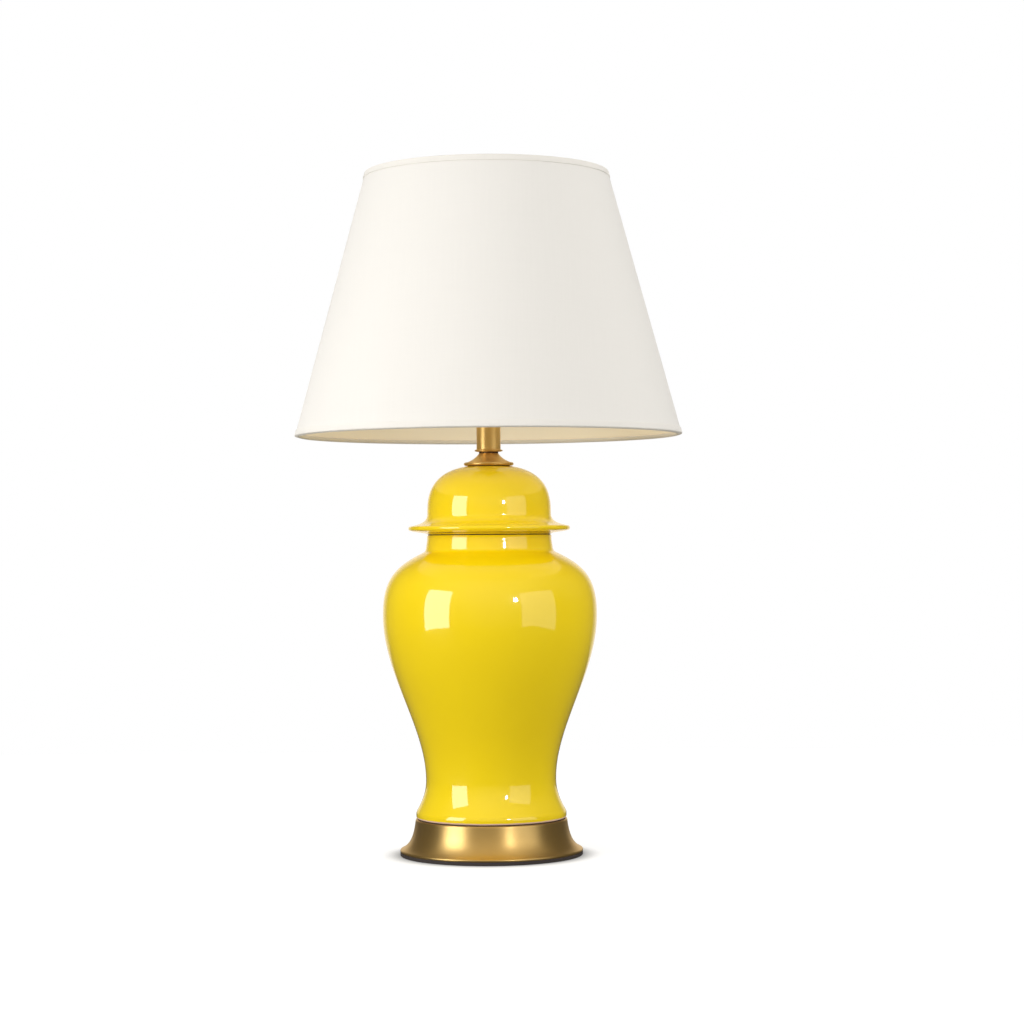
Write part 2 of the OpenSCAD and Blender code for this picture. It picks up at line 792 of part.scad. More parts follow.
module slant_sheet(d0, d1, s0, s1) {
    polygon([on_slant(s0, d0), on_slant(s1, d0), on_slant(s1, d1), on_slant(s0, d1)]);
}

cover_d = 0.7;
liner_d = 1.3;
inner_d = 1.9;
ring_d = inner_d + 0.1 + ring_r;
hem_r = ring_r + 0.75;
hem_w = 6;
hem_s = hem_r + 0.1;
top_ring = on_slant(slant_len - hem_s, ring_d);
knee = [top_ring.x - 13, hub_z + hub_t / 2];
arm_r = 1.5;

// Hem in slant coordinates, as depth and distance from its rim: up the outside, under the
// rim and once round the wire ring
function hem_outline() = concat(
    [[0, hem_w], [0, 0.6], [0.18, 0.18], [0.6, 0]],
    arc([ring_d, hem_s], hem_r, -90, 130, 20),
    arc([ring_d, hem_s], ring_r + 0.03, 130, -90, 20),
    [[cover_d - 0.05, 1.2], [cover_d - 0.05, hem_w]]
);

module bottom_hem() { color("#f6f1e6") turned([for (p = hem_outline()) on_slant(p.y, p.x)]); }

// Slit where each arm of the spider comes through
module top_hem() {
    color("#f6f1e6") difference() {
        turned([for (p = hem_outline()) on_slant(slant_len - p.y, p.x)]);
        for (k = [0:arm_count - 1]) rotate([0, 0, 90 + 360 * k / arm_count])
            bar([knee.x, 0, knee.y], [top_ring.x, 0, top_ring.y], arm_r + 0.12);
    }
}

module wire_ring(s) {
    rotate_extrude() translate(on_slant(s, ring_d)) circle(r = ring_r);
}

module bottom_ring() { color("silver") wire_ring(hem_s); }

module shade_liner() {
    color("#f1e6cc") rotate_extrude()
        slant_sheet(liner_d + 0.02, inner_d, 1.3, slant_len - 1.3);
}

module shade_cover() {
    color("#f7f4ec") rotate_extrude() slant_sheet(cover_d, liner_d, 1.3, slant_len - 1.3);
}

// Hub, arms and top ring, welded together
module spider() {
    color("#c9a65a") {
        wire_ring(slant_len - hem_s);
        ring(stud_r + 0.4, 10.5, hub_z, hub_t);
        for (k = [0:arm_count - 1]) rotate([0, 0, 90 + 360 * k / arm_count]) {
            bar([9, 0, knee.y], [knee.x, 0, knee.y], arm_r);
            translate([knee.x, 0, knee.y]) sphere(r = arm_r + 0.2);
            bar([knee.x, 0, knee.y], [top_ring.x, 0, top_ring.y], arm_r);
        }
    }
}

module shade_washer() { color("#c9a65a") ring(stud_r + 0.4, 8.5, washer_z, 0.7); }

module finial_washer() { color("#c9a65a") ring(stud_r + 0.4, 7.6, top_washer_z, 0.8); }

module finial() {
    z = finial_z;
    bore = stud_r + 0.06;
    depth = stud_top + 1.2 - z;
    color("#b8924a") turned(concat(
        [[bore, z], [6.6, z], [6.9, z + 0.8], [6.4, z + 1.8], [5, z + 2.4], [4.6, z + 4]],
        arc([0, z + 13], 9.2, -62, 78, 16),
        curve([1.9, z + 22], [1.6, z + 23.4], [3.4, z + 24.2], [2.4, z + 25.4], 5),
        [[0, z + finial_h], [0, z + depth], [bore, z + depth]]
    ));
}

foot_pad();
base_plate();
plate_screws();
base_shell();
base_weight();
cord_grommet();
terminal_block();
block_screws();
clamp_screws();
live_lead();
neutral_lead();
earth_lead();
earth_tag();
rod_nut();
lock_washer();
threaded_rod();
jar_gasket();
jar_body();
lid_gasket();
jar_lid();
cap_gasket();
vase_cap();
star_washer();
neck_collar();
neck_tube();
harp_saddle();
saddle_nut();
socket_cup();
cup_setscrew();
socket_block();
socket_terminals();
screw_shell();
centre_contact();
socket_liner();
socket_shell();
switch_shaft();
switch_knob();
bulb_contact();
bulb_insulator();
bulb_cap();
bulb_housing();
led_board();
bulb_diffuser();
harp_wire();
harp_seat();
ferrule_left();
ferrule_right();
shade_washer();
spider();
bottom_ring();
shade_liner();
shade_cover();
top_hem();
bottom_hem();
finial_washer();
finial();
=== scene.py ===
import json
import math
import bpy
import numpy as np
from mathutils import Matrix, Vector


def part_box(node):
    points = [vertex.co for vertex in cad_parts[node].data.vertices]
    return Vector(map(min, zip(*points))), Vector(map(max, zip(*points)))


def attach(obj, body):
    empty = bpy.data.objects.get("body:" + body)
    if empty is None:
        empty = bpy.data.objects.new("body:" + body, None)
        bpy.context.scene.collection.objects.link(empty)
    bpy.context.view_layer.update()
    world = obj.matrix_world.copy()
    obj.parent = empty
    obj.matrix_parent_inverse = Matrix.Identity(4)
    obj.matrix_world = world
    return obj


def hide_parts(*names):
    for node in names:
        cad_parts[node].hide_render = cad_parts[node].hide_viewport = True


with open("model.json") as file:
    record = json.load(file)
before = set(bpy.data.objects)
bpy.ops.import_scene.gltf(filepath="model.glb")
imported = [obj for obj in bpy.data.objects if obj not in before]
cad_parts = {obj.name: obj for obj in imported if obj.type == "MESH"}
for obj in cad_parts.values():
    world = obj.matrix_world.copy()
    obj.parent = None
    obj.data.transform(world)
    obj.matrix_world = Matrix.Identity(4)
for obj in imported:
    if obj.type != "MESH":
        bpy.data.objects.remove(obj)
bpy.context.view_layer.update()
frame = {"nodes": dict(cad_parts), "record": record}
nodes = frame["nodes"]
print("frame loaded:", len(nodes), "nodes")


# ---------- outlines ----------
# An outline is an array of (radius, height) points. Outlines in millimetres are set in metres,
# on the level of their CAD node, by placed().

def cubic(a, b, c, d, count=12):
    # points on the curve from a to d steered by b and c
    t = np.linspace(0, 1, count + 1)[:, None]
    s = 1 - t
    a, b, c, d = (np.array(p, float) for p in (a, b, c, d))
    return a * s**3 + 3 * b * s * s * t + 3 * c * s * t * t + d * t**3


def roundArc(centre, radius, start, end, count=8):
    # points on a circle about centre, angles in degrees
    w = np.radians(np.linspace(start, end, count + 1))
    return np.array(centre) + radius * np.stack([np.cos(w), np.sin(w)], 1)


def line(*points):
    return np.array(points, float)


def chain(*runs):
    # the runs in a row, without points that lie on each other
    points = np.vstack(runs)
    step = np.linalg.norm(np.diff(points, axis=0), axis=1)
    return points[np.concatenate([[True], step > 2e-6])]


def divided(points, step):
    # the outline with every long straight run cut into lengths of about step
    out = [points[:1]]
    for a, b in zip(points[:-1], points[1:]):
        count = max(1, int(np.linalg.norm(b - a) / step))
        out.append(a + (b - a) * np.linspace(0, 1, count + 1)[1:, None])
    return np.vstack(out)


def inset(points, depth):
    # the outline moved sideways by depth, to the left of its direction
    step = np.gradient(points, axis=0)
    step /= np.linalg.norm(step, axis=1)[:, None]
    return points + depth * np.stack([-step[:, 1], step[:, 0]], 1)


# ---------- meshes ----------

def finishMesh(name, points, faces, uv=None, sharp=35):
    # faces are closed, turned outwards and shaded smooth up to the sharp angle
    mesh = bpy.data.meshes.new(name)
    mesh.from_pydata(points, [], faces)
    mesh.update()
    if uv is not None:
        layer = mesh.uv_layers.new(name="cut")
        loops = np.zeros(len(mesh.loops), np.int32)
        mesh.loops.foreach_get("vertex_index", loops)
        layer.data.foreach_set("uv", np.asarray(uv, np.float32)[loops].ravel())
    mesh.shade_smooth()
    mesh.set_sharp_from_angle(angle=math.radians(sharp))
    piece = bpy.data.objects.new(name, mesh)
    bpy.context.scene.collection.objects.link(piece)
    return piece


def outwardFaces(points, *groups):
    # all the faces in one list, reversed when the volume they enclose comes out negative:
    # six times the volume is the sum of a . (b x c) over the triangles (a, b, c) of each face
    volume = sum(np.einsum("ij,ij->", points[faces[:, 0]],
                           np.cross(points[faces[:, k]], points[faces[:, k + 1]]))
                 for faces in groups for k in range(1, faces.shape[1] - 1))
    way = -1 if volume < 0 else 1
    return [face for faces in groups for face in faces[:, ::way].tolist()]


def spun(name, outline, around=160, closed=True, wobble=None, sharp=35):
    # x = r cos a, y = r sin a, z = h over a grid of angle and place on the outline, which is
    # joined from its last point to its first when it is closed;
    # wobble(angle, r, h) gives a small change of radius and height
    outline = np.asarray(outline, float)
    if closed and np.linalg.norm(outline[0] - outline[-1]) > 1e-6 and min(
            outline[0, 0], outline[-1, 0]) > 1e-6:
        outline = np.vstack([outline, outline[:1]])
    loop = closed and np.linalg.norm(outline[0] - outline[-1]) <= 1e-6
    rows = outline[:-1] if loop else outline
    angle = np.linspace(0, 2 * np.pi, around, endpoint=False)
    r, a = np.meshgrid(rows[:, 0], angle, indexing="ij")
    h = np.repeat(rows[:, 1:], around, axis=1)
    if wobble is not None:
        dr, dh = wobble(a, r, h)
        r, h = r + dr, h + dh
    points = np.stack([r * np.cos(a), r * np.sin(a), h], -1).reshape(-1, 3)
    run = np.concatenate([[0], np.cumsum(np.linalg.norm(np.diff(rows, axis=0), axis=1))])
    uv = np.stack([a * rows[:, 0].max(), np.repeat(run[:, None], around, 1)], -1).reshape(-1, 2)
    i = np.arange(len(rows) - (0 if loop else 1))[:, None]
    j = np.arange(around)[None, :]
    k, n = (j + 1) % around, (i + 1) % len(rows)
    bands = np.stack([i * around + j, n * around + j, n * around + k, i * around + k], -1)
    # a row on the axis is one point, and the bands beside it are fans of triangles
    axis = rows[:, 0] <= 1e-6
    kept = np.repeat(~axis, around)
    kept[np.flatnonzero(axis) * around] = True
    place = np.cumsum(kept) - 1
    place = np.where(kept, place, np.repeat(place[::around], around))
    below, above = axis[i[:, 0]], axis[n[:, 0]]
    quads = place[bands[~below & ~above]].reshape(-1, 4)
    fansUp = place[bands[below & ~above][..., [0, 1, 2]]].reshape(-1, 3)
    fansDown = place[bands[~below & above][..., [0, 1, 3]]].reshape(-1, 3)
    points, uv = points[kept], uv[kept]
    return finishMesh(name, points, outwardFaces(points, quads, fansUp, fansDown), uv, sharp)


def swept(name, path, radius, sides=16, closed=False):
    # a round section carried along a path: p = c + radius (cos w u + sin w v),
    # with u and v square to the path
    path = np.asarray(path, float)
    if closed:
        step = np.roll(path, -1, 0) - np.roll(path, 1, 0)
    else:
        step = np.gradient(path, axis=0)
    t = step / np.linalg.norm(step, axis=1)[:, None]
    u = np.cross(t, [0.577, 0.577, 0.577] if not closed else [0, 0, 1])
    u /= np.linalg.norm(u, axis=1)[:, None]
    v = np.cross(t, u)
    w = np.linspace(0, 2 * np.pi, sides, endpoint=False)
    ring = np.cos(w)[None, :, None] * u[:, None] + np.sin(w)[None, :, None] * v[:, None]
    points = (path[:, None] + radius * ring).reshape(-1, 3)
    rings = len(path)
    i = np.arange(rings if closed else rings - 1)[:, None]
    j = np.arange(sides)[None, :]
    n, k = (i + 1) % rings, (j + 1) % sides
    groups = [np.stack([i * sides + j, n * sides + j, n * sides + k, i * sides + k],
                       -1).reshape(-1, 4)]
    if not closed:
        cap = np.arange(sides)
        groups.append(np.stack([cap, (rings - 1) * sides + cap[::-1]]))
    return finishMesh(name, points, outwardFaces(points, *groups))


# ---------- shader helpers ----------

def newMaterial(name):
    material = bpy.data.materials.new(name)
    material.use_nodes = True
    return material, material.node_tree.nodes, material.node_tree.links


def setInputs(node, values):
    for key, value in values.items():
        node.inputs[key].default_value = value


def groupTree(name, inputs, outputs):
    # an empty shader group with named sockets
    tree = bpy.data.node_groups.new(name, "ShaderNodeTree")
    for label, kind, value in inputs:
        socket = tree.interface.new_socket(name=label, in_out="INPUT", socket_type=kind)
        if value is not None:
            socket.default_value = value
    for label, kind in outputs:
        tree.interface.new_socket(name=label, in_out="OUTPUT", socket_type=kind)
    return tree, tree.nodes.new("NodeGroupInput"), tree.nodes.new("NodeGroupOutput")


def mathNode(tree, operation, a, b=None, c=None):
    # a maths node fed by sockets or numbers
    node = tree.nodes.new("ShaderNodeMath")
    node.operation = operation
    for slot, value in enumerate(x for x in (a, b, c) if x is not None):
        if isinstance(value, (int, float)):
            node.inputs[slot].default_value = value
        else:
            tree.links.new(value, node.inputs[slot])
    return node.outputs[0]


def noiseNode(tree, vector, scale, detail=2.0, roughness=0.5):
    node = tree.nodes.new("ShaderNodeTexNoise")
    setInputs(node, {"Scale": scale, "Detail": detail, "Roughness": roughness})
    tree.links.new(vector, node.inputs["Vector"])
    return node.outputs["Fac"]


def stretched(tree, vector, scale):
    # the coordinates stretched by a different scale along each axis
    node = tree.nodes.new("ShaderNodeVectorMath")
    node.operation = "MULTIPLY"
    node.inputs[1].default_value = scale
    tree.links.new(vector, node.inputs[0])
    return node.outputs[0]


def mixColour(tree, factor, a, b):
    node = tree.nodes.new("ShaderNodeMix")
    node.data_type = "RGBA"
    for socket, value in ((node.inputs[0], factor), (node.inputs[6], a), (node.inputs[7], b)):
        if isinstance(value, (int, float)):
            socket.default_value = value
        elif isinstance(value, (tuple, list)):
            socket.default_value = (*value, 1)
        else:
            tree.links.new(value, socket)
    return node.outputs[2]


# Fine turned lines round the axis and a soft mottle, for spun and turned metal
def makeTurnedGroup():
    tree, into, out = groupTree("turnedMetal", [
        ("Coordinates", "NodeSocketVector", None),
        ("Lines per metre", "NodeSocketFloat", 2600.0),
        ("Roughness low", "NodeSocketFloat", 0.2),
        ("Roughness high", "NodeSocketFloat", 0.34)],
        [("Roughness", "NodeSocketFloat"), ("Height", "NodeSocketFloat"),
         ("Tint", "NodeSocketFloat")])
    parts = tree.nodes.new("ShaderNodeSeparateXYZ")
    tree.links.new(into.outputs["Coordinates"], parts.inputs[0])
    x, y, z = parts.outputs
    radius = mathNode(tree, "SQRT", mathNode(
        tree, "ADD", mathNode(tree, "MULTIPLY", x, x), mathNode(tree, "MULTIPLY", y, y)))
    place = mathNode(tree, "ADD", z, mathNode(tree, "MULTIPLY", radius, 0.83))
    along = tree.nodes.new("ShaderNodeCombineXYZ")
    tree.links.new(mathNode(tree, "MULTIPLY", place, into.outputs["Lines per metre"]),
                   along.inputs[0])
    tree.links.new(mathNode(tree, "MULTIPLY", x, 14.0), along.inputs[1])
    tree.links.new(mathNode(tree, "MULTIPLY", y, 14.0), along.inputs[2])
    lines = noiseNode(tree, along.outputs[0], 1.0, 3.0, 0.6)
    mottle = noiseNode(tree, into.outputs["Coordinates"], 38.0, 4.0, 0.6)
    both = mathNode(tree, "ADD", mathNode(tree, "MULTIPLY", lines, 0.65),
                    mathNode(tree, "MULTIPLY", mottle, 0.35))
    spread = mathNode(tree, "SUBTRACT", into.outputs["Roughness high"],
                      into.outputs["Roughness low"])
    tree.links.new(mathNode(tree, "ADD", into.outputs["Roughness low"],
                            mathNode(tree, "MULTIPLY", both, spread)), out.inputs["Roughness"])
    tree.links.new(lines, out.inputs["Height"])
    tree.links.new(mottle, out.inputs["Tint"])
    return tree


# Plain weave on the cut of the cloth: warp and weft threads with slubs of uneven thickness
def makeWeaveGroup():
    tree, into, out = groupTree("linenWeave", [
        ("Cut", "NodeSocketVector", None),
        ("Threads per metre", "NodeSocketFloat", 1100.0),
        ("Slub", "NodeSocketFloat", 0.5)],
        [("Height", "NodeSocketFloat"), ("Shade", "NodeSocketFloat"),
         ("Slubs", "NodeSocketFloat")])
    cut = into.outputs["Cut"]
    warpSlub = noiseNode(tree, stretched(tree, cut, (620.0, 16.0, 1.0)), 1.0, 3.0, 0.55)
    weftSlub = noiseNode(tree, stretched(tree, cut, (16.0, 520.0, 1.0)), 1.0, 3.0, 0.55)
    parts = tree.nodes.new("ShaderNodeSeparateXYZ")
    tree.links.new(cut, parts.inputs[0])
    count = mathNode(tree, "MULTIPLY", into.outputs["Threads per metre"], math.pi)
    across = mathNode(tree, "MULTIPLY", parts.outputs[0], count)
    along = mathNode(tree, "MULTIPLY", parts.outputs[1], count)
    warp = mathNode(tree, "ABSOLUTE", mathNode(tree, "SINE", across))
    weft = mathNode(tree, "ABSOLUTE", mathNode(tree, "SINE", along))
    over = mathNode(tree, "MULTIPLY", mathNode(tree, "SINE", across),
                    mathNode(tree, "SINE", along))
    overUnder = mathNode(tree, "ADD", mathNode(tree, "MULTIPLY", over, 0.35), 0.5)
    threads = mathNode(tree, "ADD",
                       mathNode(tree, "MULTIPLY", warp, overUnder),
                       mathNode(tree, "MULTIPLY", weft,
                                mathNode(tree, "SUBTRACT", 1.0, overUnder)))
    slubs = mathNode(tree, "ADD", mathNode(tree, "MULTIPLY", warpSlub, 0.62),
                     mathNode(tree, "MULTIPLY", weftSlub, 0.38))
    weighted = mathNode(tree, "MULTIPLY", slubs, into.outputs["Slub"])
    tree.links.new(mathNode(tree, "ADD", mathNode(tree, "MULTIPLY", threads, 0.5), weighted),
                   out.inputs["Height"])
    tree.links.new(threads, out.inputs["Shade"])
    tree.links.new(slubs, out.inputs["Slubs"])
    return tree


# A little dust and wear: fine speckle over large soft patches
def makeDustGroup():
    tree, into, out = groupTree("fineDust", [
        ("Coordinates", "NodeSocketVector", None),
        ("Patch scale", "NodeSocketFloat", 14.0),
        ("Speck scale", "NodeSocketFloat", 900.0)],
        [("Patches", "NodeSocketFloat"), ("Specks", "NodeSocketFloat")])
    patch = tree.nodes.new("ShaderNodeTexNoise")
    setInputs(patch, {"Detail": 3.0, "Roughness": 0.55})
    speck = tree.nodes.new("ShaderNodeTexNoise")
    setInputs(speck, {"Detail": 1.0})
    for node, key in ((patch, "Patch scale"), (speck, "Speck scale")):
        tree.links.new(into.outputs["Coordinates"], node.inputs["Vector"])
        tree.links.new(into.outputs[key], node.inputs["Scale"])
    tree.links.new(patch.outputs["Fac"], out.inputs["Patches"])
    tree.links.new(speck.outputs["Fac"], out.inputs["Specks"])
    return tree


turnedGroup = makeTurnedGroup()
weaveGroup = makeWeaveGroup()
dustGroup = makeDustGroup()


def placeGroup(tree, group, values):
    node = tree.nodes.new("ShaderNodeGroup")
    node.node_tree = group
    setInputs(node, values)
    return node


def coordinates(tree, kind="Object"):
    return tree.nodes.new("ShaderNodeTexCoord").outputs[kind]


def addBump(tree, height, strength, distance):
    node = tree.nodes.new("ShaderNodeBump")
    setInputs(node, {"Strength": strength, "Distance": distance})
    tree.links.new(height, node.inputs["Height"])
    tree.links.new(node.outputs[0], tree.nodes["Principled BSDF"].inputs["Normal"])


def metalMaterial(name, colour, deep, low, high, lines=2600.0, bump=0.06, drawn=0.6):
    # a metal with turned lines, a mottled tone and uneven polish
    material, parts, links = newMaterial(name)
    tree, shader = material.node_tree, parts["Principled BSDF"]
    setInputs(shader, {"Metallic": 1.0, "Anisotropic": drawn, "Anisotropic Rotation": 0.25})
    turned = placeGroup(tree, turnedGroup, {
        "Lines per metre": lines, "Roughness low": low, "Roughness high": high})
    links.new(coordinates(tree), turned.inputs["Coordinates"])
    links.new(mixColour(tree, turned.outputs["Tint"], colour, deep), shader.inputs["Base Color"])
    links.new(turned.outputs["Roughness"], shader.inputs["Roughness"])
    addBump(tree, turned.outputs["Height"], bump, 0.0002)
    return material


def mouldedMaterial(name, colour, roughness, grain=0.1, coat=0.0, tone=0.12):
    # moulded plastic, rubber, card or paint: one tone that varies a little, with fine grain
    material, parts, links = newMaterial(name)
    tree, shader = material.node_tree, parts["Principled BSDF"]
    setInputs(shader, {"Coat Weight": coat, "Coat Roughness": 0.12})
    dust = placeGroup(tree, dustGroup, {"Patch scale": 45.0, "Speck scale": 1600.0})
    links.new(coordinates(tree), dust.inputs["Coordinates"])
    dark = tuple(c * (1 - tone) for c in colour)
    light = tuple(min(1.0, c * (1 + tone)) for c in colour)
    links.new(mixColour(tree, dust.outputs["Patches"], dark, light), shader.inputs["Base Color"])
    rough = mathNode(tree, "ADD", roughness - 0.05,
                     mathNode(tree, "MULTIPLY", dust.outputs["Patches"], 0.1))
    links.new(rough, shader.inputs["Roughness"])
    addBump(tree, dust.outputs["Specks"], grain, 0.0002)
    return material


# ---------- finishes ----------

mm = 0.001


def boxLow(node):
    return np.array(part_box(node)[0])


def boxHigh(node):
    return np.array(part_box(node)[1])


# Yellow glaze in two close tones, with faint ripples and pits; the clay is bare at the foot
def glazeMaterial():
    glaze = {"colour": (1.0, 0.74, 0.004), "thick": (0.94, 0.66, 0.003),
             "clay": (0.72, 0.50, 0.38), "bareBelow": boxLow("jar_body")[2] + 0.0018}
    material, parts, links = newMaterial("yellowGlaze")
    tree, shader = material.node_tree, parts["Principled BSDF"]
    setInputs(shader, {"Coat Roughness": 0.035, "Coat IOR": 1.8, "Specular IOR Level": 0.1})
    where = coordinates(tree)
    dust = placeGroup(tree, dustGroup, {"Patch scale": 9.0, "Speck scale": 520.0})
    links.new(where, dust.inputs["Coordinates"])
    height = tree.nodes.new("ShaderNodeSeparateXYZ")
    links.new(where, height.inputs[0])
    ragged = mathNode(tree, "MULTIPLY", noiseNode(tree, where, 160.0, 2.0), 0.0007)
    level = mathNode(tree, "ADD", height.outputs[2], ragged)
    glazed = mathNode(tree, "GREATER_THAN", level, float(glaze["bareBelow"]))
    body = mixColour(tree, dust.outputs["Patches"], glaze["colour"], glaze["thick"])
    links.new(mixColour(tree, glazed, glaze["clay"], body), shader.inputs["Base Color"])
    links.new(mathNode(tree, "MULTIPLY", glazed, 0.9), shader.inputs["Coat Weight"])
    rough = mathNode(tree, "SUBTRACT", 0.8, mathNode(tree, "MULTIPLY", glazed, 0.58))
    links.new(rough, shader.inputs["Roughness"])
    ripple = noiseNode(tree, where, 55.0, 2.0)
    pits = mathNode(tree, "MULTIPLY", dust.outputs["Specks"], 0.1)
    addBump(tree, mathNode(tree, "ADD", ripple, pits), 0.05, 0.0006)
    return material


# Plain linen on the shade, and the lining behind it, which carries a painted glow
def clothMaterial(name, colour, thread, slub, tone, bump, paintedGlow=0.0):
    material, parts, links = newMaterial(name)
    tree, shader = material.node_tree, parts["Principled BSDF"]
    setInputs(shader, {"Roughness": 0.92, "Sheen Weight": 0.12, "Sheen Roughness": 0.5,
                       "Specular IOR Level": 0.25})
    weave = placeGroup(tree, weaveGroup, {"Threads per metre": thread, "Slub": slub})
    links.new(coordinates(tree, "UV"), weave.inputs["Cut"])
    dark = tuple(c * (1 - tone) for c in colour)
    light = tuple(min(1.0, c * (1 + tone)) for c in colour)
    both = mathNode(tree, "ADD", mathNode(tree, "MULTIPLY", weave.outputs["Slubs"], 0.7),
                    mathNode(tree, "MULTIPLY", weave.outputs["Shade"], 0.3))
    links.new(mixColour(tree, both, dark, light), shader.inputs["Base Color"])
    addBump(tree, weave.outputs["Height"], bump, 0.0003)
    if paintedGlow:
        # painted glow: the sheet gives off a little light in its own colour, which stands in for
        # the daylight that comes through it
        setInputs(shader, {"Emission Color": (*colour, 1), "Emission Strength": paintedGlow})
    return material


# Opal plastic of the bulb
def opalMaterial():
    material = mouldedMaterial("opalPlastic", (0.9, 0.89, 0.86), 0.38, 0.04, 0.0, 0.03)
    setInputs(material.node_tree.nodes["Principled BSDF"], {"Subsurface Weight": 0.15})
    return material


brass = {"colour": (0.87, 0.62, 0.245), "deep": (0.79, 0.53, 0.19)}
rawBrass = {"colour": (0.86, 0.64, 0.28), "deep": (0.76, 0.53, 0.2)}
steel = {"colour": (0.62, 0.62, 0.63), "deep": (0.5, 0.5, 0.52)}

finishes = {
    "foot_foam": mouldedMaterial("footFoam", (0.046, 0.036, 0.034), 0.88, 0.5),
    "zinc_steel": metalMaterial("zincSteel", steel["colour"], steel["deep"], 0.3, 0.5),
    "dark_steel": metalMaterial("darkSteel", (0.19, 0.13, 0.075), (0.12, 0.08, 0.05), 0.4, 0.6),
    "satin_brass": metalMaterial("satinBrass", brass["colour"], brass["deep"], 0.34, 0.46,
                                 drawn=0.7),
    "raw_brass": metalMaterial("rawBrass", rawBrass["colour"], rawBrass["deep"], 0.22, 0.38),
    "cast_iron": mouldedMaterial("castIron", (0.07, 0.07, 0.073), 0.62, 0.6),
    "black_rubber": mouldedMaterial("blackRubber", (0.022, 0.021, 0.021), 0.72, 0.2),
    "cream_nylon": mouldedMaterial("creamNylon", (0.78, 0.72, 0.58), 0.45),
    "brown_lead": mouldedMaterial("brownLead", (0.16, 0.07, 0.03), 0.42),
    "blue_lead": mouldedMaterial("blueLead", (0.03, 0.11, 0.42), 0.42),
    "earth_lead": mouldedMaterial("earthLead", (0.16, 0.42, 0.05), 0.42),
    "dark_cork": mouldedMaterial("darkCork", (0.05, 0.034, 0.024), 0.85, 0.4),
    "yellow_glaze": glazeMaterial(),
    "brown_bakelite": mouldedMaterial("brownBakelite", (0.05, 0.03, 0.02), 0.3, 0.05, 0.3),
    "brown_card": mouldedMaterial("brownCard", (0.30, 0.18, 0.09), 0.8, 0.3),
    "black_plastic": mouldedMaterial("blackPlastic", (0.02, 0.02, 0.02), 0.35, 0.08),
    "tin_solder": metalMaterial("tinSolder", (0.66, 0.66, 0.64), (0.5, 0.5, 0.5), 0.3, 0.5),
    "black_vitrite": mouldedMaterial("blackVitrite", (0.012, 0.011, 0.014), 0.12, 0.02, 0.4),
    "nickel_cap": metalMaterial("nickelCap", (0.72, 0.71, 0.68), (0.6, 0.59, 0.56), 0.2, 0.36),
    "white_plastic": mouldedMaterial("whitePlastic", (0.82, 0.82, 0.8), 0.35, 0.05, 0.1, 0.04),
    "white_board": mouldedMaterial("whiteBoard", (0.84, 0.84, 0.84), 0.5),
    "opal_diffuser": opalMaterial(),
    # the lining's last value is the strength of its painted glow, which stands in for light
    # through the cloth
    "shade_lining": clothMaterial("shadeLining", (0.86, 0.78, 0.62), 1500.0, 0.25, 0.02, 0.05,
                                  0.21),
    "shade_cloth": clothMaterial("shadeLinen", (0.82, 0.79, 0.735), 2100.0, 0.6, 0.03, 0.22),
    "shade_hem": clothMaterial("hemLinen", (0.82, 0.785, 0.72), 2100.0, 0.6, 0.04, 0.3),
}
bodyOf = {node: body for body, members in frame["record"]["behaviour"]["bodies"].items()
          for node in members}
slotOf = {row["node"]: row["material_slot"] for row in frame["record"]["subparts"]}
for name, node in nodes.items():
    node.data.materials.clear()
    node.data.materials.append(finishes[slotOf[name]])
print("finishes:", len(finishes))


def stand(piece, node, replaced=True):
    # the piece takes the finish and the body of a node, and stands for it
    piece.data.materials.append(finishes[slotOf[node]])
    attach(piece, bodyOf[node])
    if replaced:
        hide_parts(node)
    return piece


def placed(points, node):
    # an outline in millimetres, set in metres on the lowest level of its node
    points = np.array(points, float) * mm
    points[:, 1] += boxLow(node)[2] - points[:, 1].min()
    return points


# ---------- jar and lid ----------

def jarOutline(jar):
    # foot, waist, belly, shoulder and mouth, then the inner face parallel to them
    foot, waist, belly, mouth, z = (jar[k] for k in ("foot", "waist", "belly", "mouth", "z"))
    outside = chain(
        line((foot - 1, z), (foot - 0.2, z + 0.6), (foot, z + 3)),
        cubic((foot, z + 3), (foot, z + 4.6), (foot - 0.2, z + 5.4), (foot - 0.8, z + 6.8), 6),
        cubic((foot - 0.8, z + 6.8), (foot - 4.4, 48), (waist, 57), (waist, 70), 18),
        cubic((waist, 70), (waist, 120), (belly, 168), (belly, 223), 60),
        cubic((belly, 223), (belly + 0.2, 256), (belly - 11.3, 268.5), (mouth + 4.1, 281), 40),
        cubic((mouth + 4.1, 281), (mouth + 2.4, 281.9), (mouth + 1.7, 283.5),
              (mouth + 1.5, 286), 8),
        line((mouth + 0.6, 292), (mouth + 0.5, 296.1), (mouth + 0.1, 296.8),
             (mouth - 0.6, 297)))
    inside = inset(outside, jar["wall"])[12:-2]
    return chain(line((7, z + 1.5), (foot - 9.6, z + 1.5), (foot - 9, z + 0.6),
                      (foot - 8.2, z)), outside,
                 line((mouth - 4.2, 297), (mouth - 4.9, 296.2)), inside[::-1],
                 line((foot - 12, z + 7), (7, z + 7)))


def thrown(a, r, h):
    # the slight unevenness of a pot off the wheel, in metres
    swell = 0.00022 * np.sin(2 * a + 9 * h) + 0.00012 * np.sin(3 * a - 21 * h + 1)
    return swell * np.clip((h - 0.045) * 40, 0, 1) * np.clip((0.285 - h) * 40, 0, 1), 0 * h


jar = {"foot": 69.9, "waist": 60.4, "belly": 99.3, "mouth": 57.4, "wall": 5, "z": 34.6}
stand(spun("jarBody", placed(jarOutline(jar), "jar_body"), 240, wobble=thrown), "jar_body")


